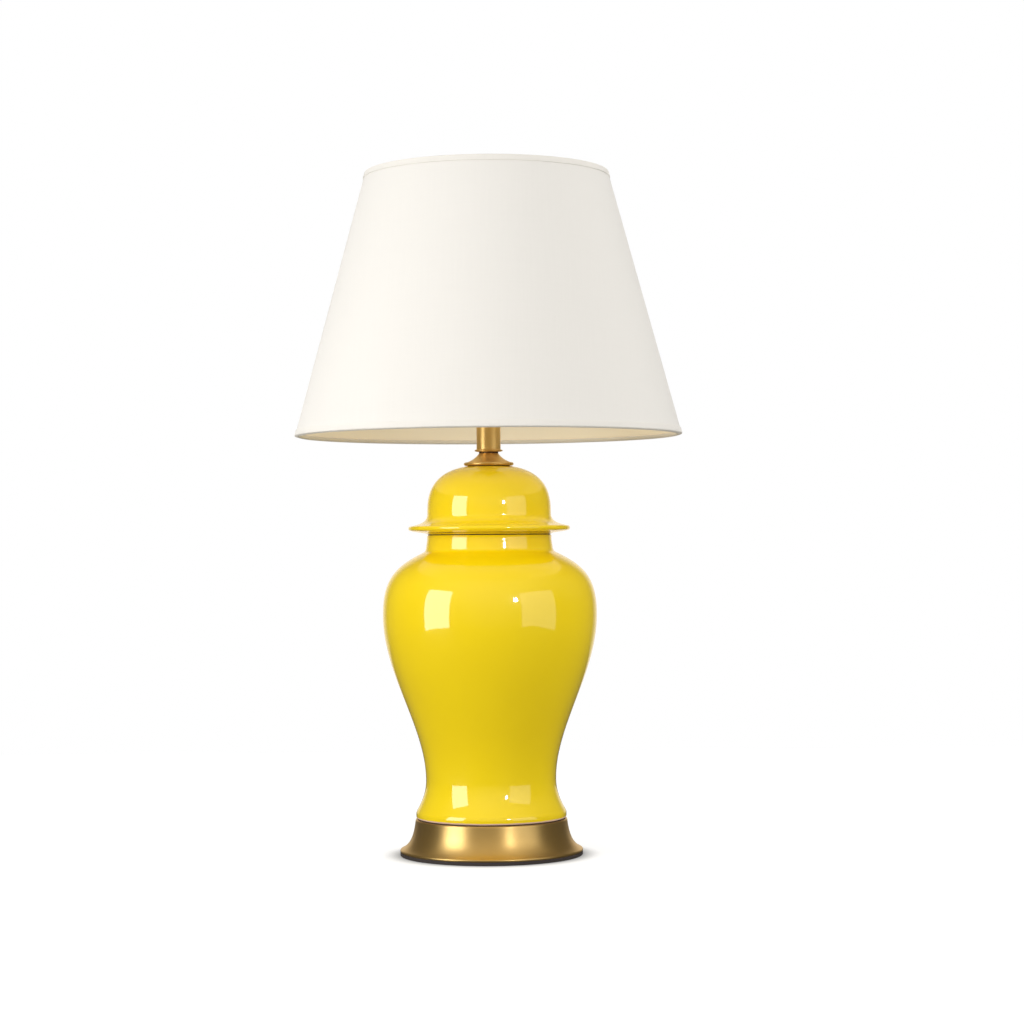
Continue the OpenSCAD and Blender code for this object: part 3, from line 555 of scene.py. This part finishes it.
def lidOutline(lid):
    # locating rim, flange with a rounded edge, hollow sweep up to the dome, and the dome as
    # a superellipse r = a cos^(2/p) w, h = b sin^(2/p) w
    rim, mouth, flange, dome, z = (lid[k] for k in ("rim", "mouth", "flange", "dome", "z"))
    w = np.radians(np.linspace(0, 88.6, 44))

    def domed(a, b):
        power = 2 / lid["power"]
        return np.stack([a * np.cos(w)**power, lid["domeZ"] + b * np.sin(w)**power], 1)

    outer, inner = domed(dome, lid["domeH"]), domed(dome - 4.5, lid["domeH"] - 4.2)
    top = lid["domeZ"] + lid["domeH"]
    return chain(
        line((rim - 4, z - 7.4), (rim - 3.4, z - 8), (rim - 0.6, z - 8), (rim, z - 7.4),
             (rim, z), (mouth + 0.4, z), (mouth + 1.6, z + 0.9)),
        cubic((mouth + 1.6, z + 0.9), (mouth + 8, z + 1.9), (flange - 4, z + 2.6),
              (flange - 1.6, z + 3.5), 14),
        roundArc((flange - 2.2, z + 5.5), 2.2, -60, 75, 16),
        cubic((flange - 1.6, z + 7.6), (mouth + 8, z + 9.4), (dome + 0.4, z + 11),
              (dome, lid["domeZ"]), 24),
        outer[1:], line((5.6, top), (5.6, top - 4.2)), inner[::-1], line((rim - 4, z + 4)))


lid = {"rim": 51.5, "mouth": 57.4, "flange": 75.2, "dome": 57.6, "z": 297.8,
       "domeZ": 316, "domeH": 46, "power": 2.7}
stand(spun("jarLid", placed(lidOutline(lid), "jar_lid"), 240), "jar_lid")
print("jar and lid made")


# ---------- brass base, cap and neck ----------

def baseOutline(base):
    # rounded top edge, concave flare and rounded foot, then the inner face
    top, edge, foot = base["top"], base["edge"], base["foot"]
    outside = chain(
        line((40, top), (58, top)),
        roundArc((edge, top - 1.2), 1.2, 90, 10, 10),
        cubic((edge + 1.3, top - 1.6), (edge + 2.8, 20), (edge + 5.5, 9.5),
              (foot - 0.6, base["rim"] + 1.1), 40),
        roundArc((foot - 1.1, base["rim"]), 1.1, 50, -30, 10),
        line((foot - 0.6, base["rim"] - 1.2)))
    inner = inset(outside, -base["sheet"])
    return chain(line((5.2, top)), outside, inner[::-1], line((5.2, top - base["sheet"])))


base = {"top": 33.6, "edge": 69.3, "foot": 85, "sheet": 1.2, "rim": 4.5}
stand(spun("brassBase", placed(baseOutline(base), "base_shell"), 240), "base_shell")


def padOutline(pad):
    # a flat disc with its edges broken, with one point part way in on each face
    r, high, edge, middle = (pad[k] for k in ("r", "high", "edge", "middle"))
    return line((0, 0), (middle, 0), (r - edge, 0), (r, edge), (r, high - edge),
                (r - edge, high), (middle, high), (0, high))


pad = {"r": boxHigh("foot_pad")[0] / mm, "high": boxHigh("foot_pad")[2] / mm, "edge": 0.4,
       "middle": 60}
stand(spun("footPad", placed(padOutline(pad), "foot_pad"), 200, closed=False), "foot_pad")


def capOutline(cap):
    # rolled rim, concave cone, then the hollow under it
    r, z, top, sheet = cap["r"], cap["z"], cap["top"], cap["sheet"]
    return chain(
        line((r - 1.9, z)), roundArc((r - 1.5, z + 1.5), 1.5, -75, 120, 18),
        cubic((r - 2.6, z + 3), (r - 6.8, z + 4.4), (11.6, z + 7.4), (9.2, top - 0.4), 24),
        line((8.8, top), (cap["hole"], top), (cap["hole"], top - sheet)),
        cubic((8, top - sheet), (10.4, z + 6.4), (r - 8, z + 3.2), (r - 3.4, z + 1.6), 16),
        line((r - 3.4, z)))


def collarOutline(collar):
    # a thin disc with a rounded rim, and the plug that goes up into the tube
    r, z, plug, bore, high = (collar[k] for k in ("r", "z", "plug", "bore", "high"))
    return chain(
        line((bore, z), (r - 2.7, z)),
        cubic((r - 2.7, z), (r - 1.1, z + 0.3), (r, z + 0.55), (r, z + 1.3), 10),
        cubic((r, z + 1.3), (r, z + 1.85), (r - 0.6, z + 2.1), (r - 1.7, z + 2.1), 8),
        line((plug, z + 2.1), (plug, z + high), (bore, z + high)))


def tubeOutline(tube):
    # a straight tube with its outer edges broken
    r, bore, low, high, edge = (tube[k] for k in ("r", "bore", "low", "high", "edge"))
    return divided(line((bore, low), (r - edge, low), (r, low + edge), (r, high - edge),
                        (r - edge, high), (bore, high)), 4.0)


cap = {"r": 23.2, "z": 361.5, "top": 373, "hole": 5.1, "sheet": 1.4}
collar = {"r": 13.1, "z": 374.25, "plug": 10.15, "bore": 5.05, "high": 8.15}
tube = {"r": 11.2, "bore": 10.2, "low": 376.4, "high": 417.35, "edge": 0.25}
stand(spun("vaseCap", placed(capOutline(cap), "vase_cap"), 128), "vase_cap")
stand(spun("neckCollar", placed(collarOutline(collar), "neck_collar"), 96), "neck_collar")
stand(spun("neckTube", placed(tubeOutline(tube), "neck_tube"), 96), "neck_tube")
print("base, cap and neck made")


# ---------- shade ----------

# The shade is a cone. A place on it is s metres up the slant from the bottom rim and d
# metres deep, with u the slant and n the outward normal in the (radius, height) plane.
shade = {"rim": (0.1803, 0.3895), "topRim": 0.634, "slant": (-0.26355, 0.96464),
         "cover": (0.0007, 0.0013), "lining": (0.00132, 0.0019), "lapDeep": (0.00012, 0.00069),
         "edge": 0.0013, "hemWide": 0.006, "roll": 0.002, "ring": 0.00125,
         "ringDeep": 0.00325, "ringIn": 0.0021, "lap": 0.012, "lapIn": 0.0064,
         "lapRadius": 0.15, "backSeam": math.pi / 2, "join": 0.0004, "pucker": 0.00006}
rimPoint, slant = np.array(shade["rim"]), np.array(shade["slant"])
outward = np.array([slant[1], -slant[0]])
slantLength = (shade["topRim"] - rimPoint[1]) / slant[1]


def onSlant(s, d):
    s, d = np.broadcast_arrays(np.asarray(s, float), np.asarray(d, float))
    return rimPoint + s[..., None] * slant - d[..., None] * outward


def coneCut(angle, r):
    # where a point of the cone lies on the flat cut: a sector of radius r / sin(half angle)
    flat, turn = r / -slant[0], angle * -slant[0]
    return np.stack([flat * np.sin(turn), -flat * np.cos(turn)], -1)


def clothTube(name, deep, span, start, sweep, around, rows):
    # a strip of the cone between two depths and two levels, swept by an angle, closed all round
    s = np.linspace(*span, rows)
    outline = np.vstack([onSlant(s, deep[0]), onSlant(s[::-1], deep[1])])
    angle = start + np.linspace(0, sweep, around + 1)
    r, a = np.meshgrid(outline[:, 0], angle, indexing="ij")
    h = np.repeat(outline[:, 1:], around + 1, axis=1)
    points = np.stack([r * np.cos(a), r * np.sin(a), h], -1).reshape(-1, 3)
    turned = a - start - sweep / 2
    uv = coneCut(turned, r).reshape(-1, 2)
    total = len(outline)
    i, j = np.arange(total)[:, None], np.arange(around)[None, :]
    n = (i + 1) % total
    row = around + 1
    faces = np.stack([i * row + j, i * row + j + 1, n * row + j + 1, n * row + j], -1)
    k = np.arange(rows - 1)
    ends = row * np.stack([k, k + 1, total - 2 - k, total - 1 - k], -1)
    faces = outwardFaces(points, faces.reshape(-1, 4), ends[:, ::-1], ends + around)
    return finishMesh(name, points, faces, uv, 50)


coverSpan = (shade["edge"], slantLength - shade["edge"])
lapSpan = (shade["lapIn"], slantLength - shade["lapIn"])
seam, fullTurn = shade["backSeam"], 2 * math.pi - shade["join"]
lapAngle = shade["lap"] / shade["lapRadius"]
cover = stand(clothTube("shadeCover", shade["cover"], coverSpan, seam, fullTurn, 320, 60),
              "shade_cover")
lap = stand(clothTube("coverLap", shade["lapDeep"], lapSpan, seam - lapAngle / 2, lapAngle, 8,
                      60), "shade_cover", False)
stand(clothTube("shadeLining", shade["lining"], coverSpan, seam, fullTurn, 240, 30),
      "shade_liner")


def hemOutline(top):
    # depth and distance from the rim: down the outside, round the rim and about the wire ring
    wide, roll = shade["hemWide"], shade["roll"]
    centre = (shade["ringDeep"], shade["ringIn"])
    inner = shade["ring"] + 0.00003
    run = chain(
        line((0.00005, wide - 0.0001), (0, wide - 0.0003), (0, 0.004), (0, 0.0012)),
        cubic((0, 0.0012), (0, 0.0004), (0.0006, 0.00012), (0.0014, 0.0001), 8),
        roundArc(centre, roll, -100, 130, 36),
        roundArc(centre, inner, 130, -90, 30),
        line((0.00065, 0.0012), (0.00065, wide), (0.0002, wide)))
    distance = slantLength - run[:, 1] if top else run[:, 1]
    return onSlant(distance, run[:, 0])


def puckered(a, r, h):
    # small waves left in the cloth where it is turned round the wire
    wave = np.sin(57 * a + 1.3 * np.sin(9 * a)) + np.sin(23 * a + 2 * np.sin(5 * a))
    surface = rimPoint[0] + (h - rimPoint[1]) * slant[0] / slant[1]
    deep = np.clip((surface - r) * 400, 0, 1)
    return -shade["pucker"] * (wave + 1) * deep, 0 * h


hems = [stand(spun(name, hemOutline(node == "top_hem"), 300, wobble=puckered, sharp=60), node)
        for name, node in (("hemTop", "top_hem"), ("hemBottom", "bottom_hem"))]
ringAngle = np.linspace(0, 2 * np.pi, 240, endpoint=False)


def ringPath(s):
    # the circle of a wire ring inside the cone, s metres up the slant
    r, z = onSlant(s, shade["ringDeep"])
    return np.stack([r * np.cos(ringAngle), r * np.sin(ringAngle), np.full(240, z)], 1)


stand(swept("ringBottom", ringPath(shade["ringIn"]), shade["ring"], 12, closed=True),
      "bottom_ring")
print("shade made")


# ---------- spider, seat, washers and finial ----------

spider = {"arm": 0.0015, "hub": 0.0105, "hole": 0.003575, "knee": 0.0979, "arms": 3,
          "start": 0.0085, "bend": 0.006}
hubLow, hubHigh = boxHigh("shade_washer")[2] + 0.00005, boxLow("finial_washer")[2] - 0.00005
hubMiddle = (hubLow + hubHigh) / 2
hub = chain(line((spider["hole"], hubLow), (spider["hub"] - 0.0003, hubLow),
                 (spider["hub"], hubLow + 0.0003), (spider["hub"], hubHigh - 0.0003),
                 (spider["hub"] - 0.0003, hubHigh), (spider["hole"], hubHigh)))
stand(spun("spiderHub", hub, 72), "spider")
ringLevel = slantLength - shade["ringIn"]
stand(swept("spiderRing", ringPath(ringLevel), shade["ring"], 12, closed=True),
      "spider", False)
# each arm: straight out, a bend at the knee, and straight up to the ring
end = onSlant(ringLevel, shade["ringDeep"])
knee = np.array([spider["knee"], hubMiddle])
before, after = knee - (spider["bend"], 0), knee + 0.3 * (end - knee)
run = np.vstack([np.linspace((spider["start"], hubMiddle), before, 12),
                 cubic(before, knee, knee, after, 12)[1:], np.linspace(after, end, 6)[1:]])
for k in range(spider["arms"]):
    w = math.radians(90 + 360 / spider["arms"] * k)
    path = np.stack([run[:, 0] * math.cos(w), run[:, 0] * math.sin(w), run[:, 1]], 1)
    stand(swept(f"spiderArm{k + 1}", path, spider["arm"], 16), "spider", False)


def finialOutline(finial):
    # foot, neck, ball and the button on top of it, then the end of the blind bore
    bore, z, top = finial["bore"], finial["z"], finial["z"] + finial["depth"]
    return chain(
        line((bore, z), (6.3, z), (6.6, z + 0.15)),
        cubic((6.6, z + 0.15), (7.1, z + 0.5), (7.0, z + 1.5), (6.4, z + 1.8), 8),
        cubic((6.4, z + 1.8), (5.2, z + 2.1), (4.8, z + 2.8), (4.62, z + 4.2), 8),
        roundArc((0, z + 13), finial["ball"], -60, 76, 40),
        cubic((2.1, z + 22), (1.5, z + 22.8), (1.6, z + 23.2), (2.2, z + 23.6), 6),
        cubic((2.2, z + 23.6), (3.4, z + 24), (3.4, z + 25.2), (2.2, z + 25.7), 8),
        cubic((2.2, z + 25.7), (1.4, z + 25.95), (0.7, z + 26), (0, z + 26), 6),
        line((0, top), (bore, top)))


finial = {"z": boxLow("finial")[2] / mm, "ball": 9.2, "bore": 3.235, "depth": 12.1}
stand(spun("finialKnob", finialOutline(finial) * mm, 96, closed=False), "finial")
print("spider and finial made")


# ---------- harp ----------

def headingArc(start, heading, radius, turn, count):
    # a bend that starts at a point with a heading in degrees and turns left by turn degrees
    a = math.radians(heading)
    side = np.sign(turn) * np.array([-math.sin(a), math.cos(a)])
    centre = np.array(start) + radius * side
    w = np.radians(np.linspace(0, turn, count + 1))[:, None]
    arm = -radius * side
    return centre + np.cos(w) * arm + np.sin(w) * np.array([-arm[1], arm[0]])


def harpPath(harp):
    # straight leg, bend out, straight flare, long bow and tight bend, then the mirror image
    lean, bowEnd, leg = harp["lean"], harp["bowEnd"], harp["leg"]
    run = [line((leg, harp["low"]), (leg, harp["legTop"]))]
    run.append(headingArc(run[-1][-1], 90, harp["bendR"], lean - 90, 12))
    a = math.radians(lean)
    run.append(line(run[-1][-1], run[-1][-1] + harp["flare"] * np.array(
        [math.cos(a), math.sin(a)])))
    begin = run[-1][-1]
    bowWay = np.array([math.sin(math.radians(bowEnd)) - math.sin(a),
                       math.cos(a) - math.cos(math.radians(bowEnd))])
    tightWay = np.array([-math.sin(math.radians(bowEnd)), math.cos(math.radians(bowEnd)) + 1])
    span = np.array([harp["flat"], harp["top"]]) - begin
    bowR, tightR = np.linalg.solve(np.stack([bowWay, tightWay], 1), span)
    run.append(headingArc(begin, lean, bowR, bowEnd - lean, 40))
    run.append(headingArc(run[-1][-1], bowEnd, tightR, 180 - bowEnd, 24))
    right = divided(chain(*run), 2.0)
    return np.vstack([right, (right * (-1, 1))[::-1]])


def halfDisc(name, x, stub, side):
    # an upright half cylinder with its flat face at x, turned away from the axis
    radius, low, high = stub["r"], stub["low"], stub["high"]
    w = np.radians(np.linspace(-90, 90, 25))
    rim = np.stack([x + side * (stub["gap"] + radius * np.cos(w)), radius * np.sin(w)], 1)
    count = len(rim)
    points = np.vstack([np.c_[rim, np.full(count, low)], np.c_[rim, np.full(count, high)]])
    faces = [[i, (i + 1) % count, count + (i + 1) % count, count + i] for i in range(count)]
    faces += [list(range(count))[::-1], list(range(count, 2 * count))]
    if side < 0:
        faces = [f[::-1] for f in faces]
    return finishMesh(name, points, faces)


harp = {"leg": 24.5, "low": 437.2, "legTop": 450, "bendR": 14, "lean": 52, "flare": 12,
        "bowEnd": 115, "flat": 8, "top": 611.4, "wire": 0.0016}
stub = {"r": 0.0024, "low": 0.4253, "high": 0.4377, "gap": 0.00006}
xz = harpPath(harp) * mm
stand(swept("harpWire", np.stack([xz[:, 0], 0 * xz[:, 0], xz[:, 1]], 1), harp["wire"], 20),
      "harp_wire")
for side, name in ((1, "harpEndRight"), (-1, "harpEndLeft")):
    stand(halfDisc(name, side * harp["leg"] * mm, stub, side), "harp_wire", False)
print("harp made")


# ---------- bulb ----------

def rolledThread(pitch, low, high, depth):
    # r changes by depth cos(2 pi h / pitch - a), fading out at both ends
    def wobble(a, r, h):
        fade = np.clip((h - low) / 0.001, 0, 1) * np.clip((high - h) / 0.001, 0, 1)
        return depth * fade * (np.cos(2 * np.pi * h / pitch - a) - 1), 0 * h
    return wobble


def upright(node, *runs, step=None):
    # the runs as one outline on the level of the node, cut into short steps if asked
    outline = chain(*runs)
    return placed(divided(outline, step) if step else outline, node)


bulb = {"tip": 463.3, "capEnd": 487.0, "r": 30.0, "neck": 517.0, "top": 568.0,
        "threadLow": 469.5, "pitch": 3.62, "thread": 0.45}
tip, capEnd, threadLow = bulb["tip"], bulb["capEnd"], bulb["threadLow"]
bulbR, bulbNeck, bulbTop = bulb["r"], bulb["neck"], bulb["top"]
stand(spun("bulbContact", upright("bulb_contact", cubic(
    (0, tip), (2.2, tip), (4.4, tip + 0.4), (4.6, tip + 1.5), 10), line((0, tip + 1.5))),
    48, closed=False), "bulb_contact")
stand(spun("bulbInsulator", upright("bulb_insulator", line(
    (0, tip + 1.55), (5.2, tip + 1.55)), cubic(
    (5.2, tip + 1.55), (8, tip + 2.2), (10.8, tip + 4.2), (11.6, tip + 5.2), 8), line(
    (11.6, tip + 5.9), (0, tip + 5.9))), 64, closed=False), "bulb_insulator")
stand(spun("bulbCap", upright("bulb_cap", line(
    (11, threadLow - 0.25), (12.2, threadLow - 0.25), (12.9, threadLow + 0.6),
    (13.1, threadLow + 1), (13.1, capEnd - 0.8), (12.9, capEnd - 0.3), (12.9, capEnd),
    (11, capEnd)), step=0.3), 96, wobble=rolledThread(
        bulb["pitch"] * mm, threadLow * mm, (capEnd - 1.5) * mm, bulb["thread"] * mm)),
    "bulb_cap")
stand(spun("bulbHousing", upright("bulb_housing", line(
    (9, capEnd + 0.1), (12.4, capEnd + 0.1), (12.8, capEnd + 0.5)), cubic(
    (12.8, capEnd + 0.5), (15.5, capEnd + 9), (24.5, capEnd + 17),
    (bulbR - 0.6, bulbNeck - 0.4), 24), line(
    (bulbR - 0.8, bulbNeck - 0.1), (bulbR - 2.2, bulbNeck - 0.1)), cubic(
    (bulbR - 2.2, bulbNeck - 0.6), (23, capEnd + 18), (14, capEnd + 10), (11.3, capEnd + 2), 16),
    line((9, capEnd + 2))), 120), "bulb_housing")
stand(spun("bulbDiffuser", upright("bulb_diffuser", line((bulbR - 0.7, bulbNeck)), cubic(
    (bulbR - 0.7, bulbNeck), (bulbR + 0.4, bulbNeck + 7), (bulbR + 0.3, bulbNeck + 12),
    (bulbR, bulbNeck + 18), 12), cubic(
    (bulbR, bulbNeck + 18), (bulbR - 1.2, bulbTop - 13), (18, bulbTop), (0, bulbTop), 30), cubic(
    (0, bulbTop - 1.3), (17.4, bulbTop - 1.3), (bulbR - 2.5, bulbTop - 13.6),
    (bulbR - 1.3, bulbNeck + 18), 20), cubic(
    (bulbR - 1.3, bulbNeck + 18), (bulbR - 1, bulbNeck + 12), (bulbR - 1, bulbNeck + 7),
    (bulbR - 2, bulbNeck), 8)), 120), "bulb_diffuser")
print("bulb made")


# ---------- floor, lights and camera ----------

def rayShares(tree, *kinds):
    # which kind of ray is asking, as sockets between 0 and 1
    path = tree.nodes.new("ShaderNodeLightPath")
    return [path.outputs[kind] for kind in kinds]


def stageFloor(floor):
    # a pale floor that looks evenly white, and is dim where it is mirrored in the glaze
    half = floor["half"]
    mesh = bpy.data.meshes.new("floor")
    mesh.from_pydata([(-half, -half, 0), (half, -half, 0), (half, half, 0), (-half, half, 0)],
                     [], [(0, 1, 2, 3)])
    plane = bpy.data.objects.new("floor", mesh)
    bpy.context.scene.collection.objects.link(plane)
    material, parts, links = newMaterial("paleFloor")
    tree, shader = material.node_tree, parts["Principled BSDF"]
    camera, glossy = rayShares(tree, "Is Camera Ray", "Is Glossy Ray")
    tone = mixColour(tree, glossy, (floor["tone"],) * 3, (floor["mirrored"],) * 3)
    links.new(tone, shader.inputs["Base Color"])
    # the glow fades out beside the foot, where the floor is shaded
    distance = tree.nodes.new("ShaderNodeVectorMath")
    distance.operation = "LENGTH"
    links.new(coordinates(tree), distance.inputs[0])
    fade = tree.nodes.new("ShaderNodeMapRange")
    fade.interpolation_type = "SMOOTHSTEP"
    near, far = floor["shaded"]
    setInputs(fade, {"From Min": near, "From Max": far, "To Min": 0.0, "To Max": floor["glow"]})
    links.new(distance.outputs["Value"], fade.inputs["Value"])
    links.new(mathNode(tree, "MULTIPLY", camera, fade.outputs[0]),
              shader.inputs["Emission Strength"])
    setInputs(shader, {"Roughness": 0.8, "Specular IOR Level": 0.1,
                       "Emission Color": (1, 1, 1, 1)})
    mesh.materials.append(material)


def areaLight(name, place, target, size, power, mirrored=True):
    lamp = bpy.data.lights.new(name, "AREA")
    lamp.shape, (lamp.size, lamp.size_y) = "RECTANGLE", size
    lamp.energy = power
    holder = bpy.data.objects.new(name, lamp)
    holder.location = place
    holder.rotation_euler = (Vector(target) - Vector(place)).to_track_quat("-Z", "Y").to_euler()
    bpy.context.scene.collection.objects.link(holder)
    holder.visible_camera, holder.visible_glossy = False, mirrored


def studioAir(air):
    # white behind the lamp, soft light all round; the reflections see a dim warm room with a
    # paler ceiling that leans to the front, and a pale wall behind
    world = bpy.data.worlds.new("studio")
    bpy.context.scene.world = world
    world.use_nodes = True
    tree = world.node_tree
    camera, glossy = rayShares(tree, "Is Camera Ray", "Is Glossy Ray")
    way = tree.nodes.new("ShaderNodeSeparateXYZ")
    tree.links.new(coordinates(tree, "Generated"), way.inputs[0])
    room, (forwards, upwards) = air["room"], air["lean"]
    front = mathNode(tree, "MULTIPLY_ADD", way.outputs[1], forwards,
                     mathNode(tree, "MULTIPLY", way.outputs[2], upwards))
    for level, key in ((front, "ceiling"), (way.outputs[1], "behind")):
        low, high, gain = air[key]
        ramp = tree.nodes.new("ShaderNodeMapRange")
        ramp.interpolation_type = "SMOOTHSTEP"
        setInputs(ramp, {"From Min": low, "From Max": high, "To Min": 0.0, "To Max": gain})
        tree.links.new(level, ramp.inputs["Value"])
        room = mathNode(tree, "ADD", ramp.outputs[0], room)
    change = mathNode(tree, "SUBTRACT", room, air["soft"])
    unseen = mathNode(tree, "MULTIPLY_ADD", glossy, change, air["soft"])
    rest = mathNode(tree, "MULTIPLY", mathNode(tree, "SUBTRACT", 1.0, camera), unseen)
    tree.links.new(mathNode(tree, "ADD", rest, camera),
                   tree.nodes["Background"].inputs["Strength"])
    tree.links.new(mixColour(tree, glossy, (1, 1, 1), air["tint"]),
                   tree.nodes["Background"].inputs["Color"])


def polar(azimuth, distance, height):
    # azimuth in degrees from the camera's side, positive to the camera's right
    a = math.radians(azimuth)
    return distance * math.sin(a), -distance * math.cos(a), height


stageFloor({"half": 1.1, "tone": 0.36, "mirrored": 0.08, "glow": 0.75, "shaded": (0.075, 0.105)})
studioAir({"soft": 0.46, "room": 0.13, "ceiling": (0.2, 1.0, 0.5), "behind": (0.8, 1.0, 0.9),
           "lean": (-0.6, 0.8), "tint": (1.0, 0.88, 0.68)})
power = {"left": 8.0, "right": 4.3, "flash": 5.0, "fill": 9.0, "top": 12.0, "beside": 14.0}
areaLight("softboxLeft", polar(-56, 1.25, 0.39), (0, 0, 0.3), (0.66, 0.95), power["left"])
areaLight("softboxRight", polar(53, 1.6, 0.34), (0, 0, 0.3), (1.15, 1.3), power["right"])
areaLight("flash", polar(27.5, 1.9, 0.74), (0, 0, 0.25), (0.13, 0.18), power["flash"])
areaLight("fill", (-0.3, -2.4, 1.45), (0, 0, 0.35), (2.2, 1.4), power["fill"], False)
areaLight("overhead", (-0.2, -0.1, 2.2), (0, 0, 0.2), (2.6, 2.6), power["top"], False)
for name, x, share in (("besideLeft", -2.2, 0.5), ("besideRight", 2.2, 1.0)):
    areaLight(name, (x, 0.5, 1.3), (0, 0, 0.35), (1.8, 1.4), power["beside"] * share, False)
bpy.context.scene.view_settings.view_transform = "Standard"

eye = {"place": (0.0211, -2.232, 0.2893), "lens": 84.3, "roll": -0.45, "rise": 0.0303}
camera = bpy.data.objects.new("camera", bpy.data.cameras.new("camera"))
camera.location = eye["place"]
camera.rotation_euler = (math.radians(90), 0, 0)
camera.rotation_euler.rotate_axis("Z", math.radians(eye["roll"]))
camera.data.lens, camera.data.sensor_width = eye["lens"], 36
camera.data.shift_y = eye["rise"]
bpy.context.scene.collection.objects.link(camera)
bpy.context.scene.camera = camera
print("stage set")
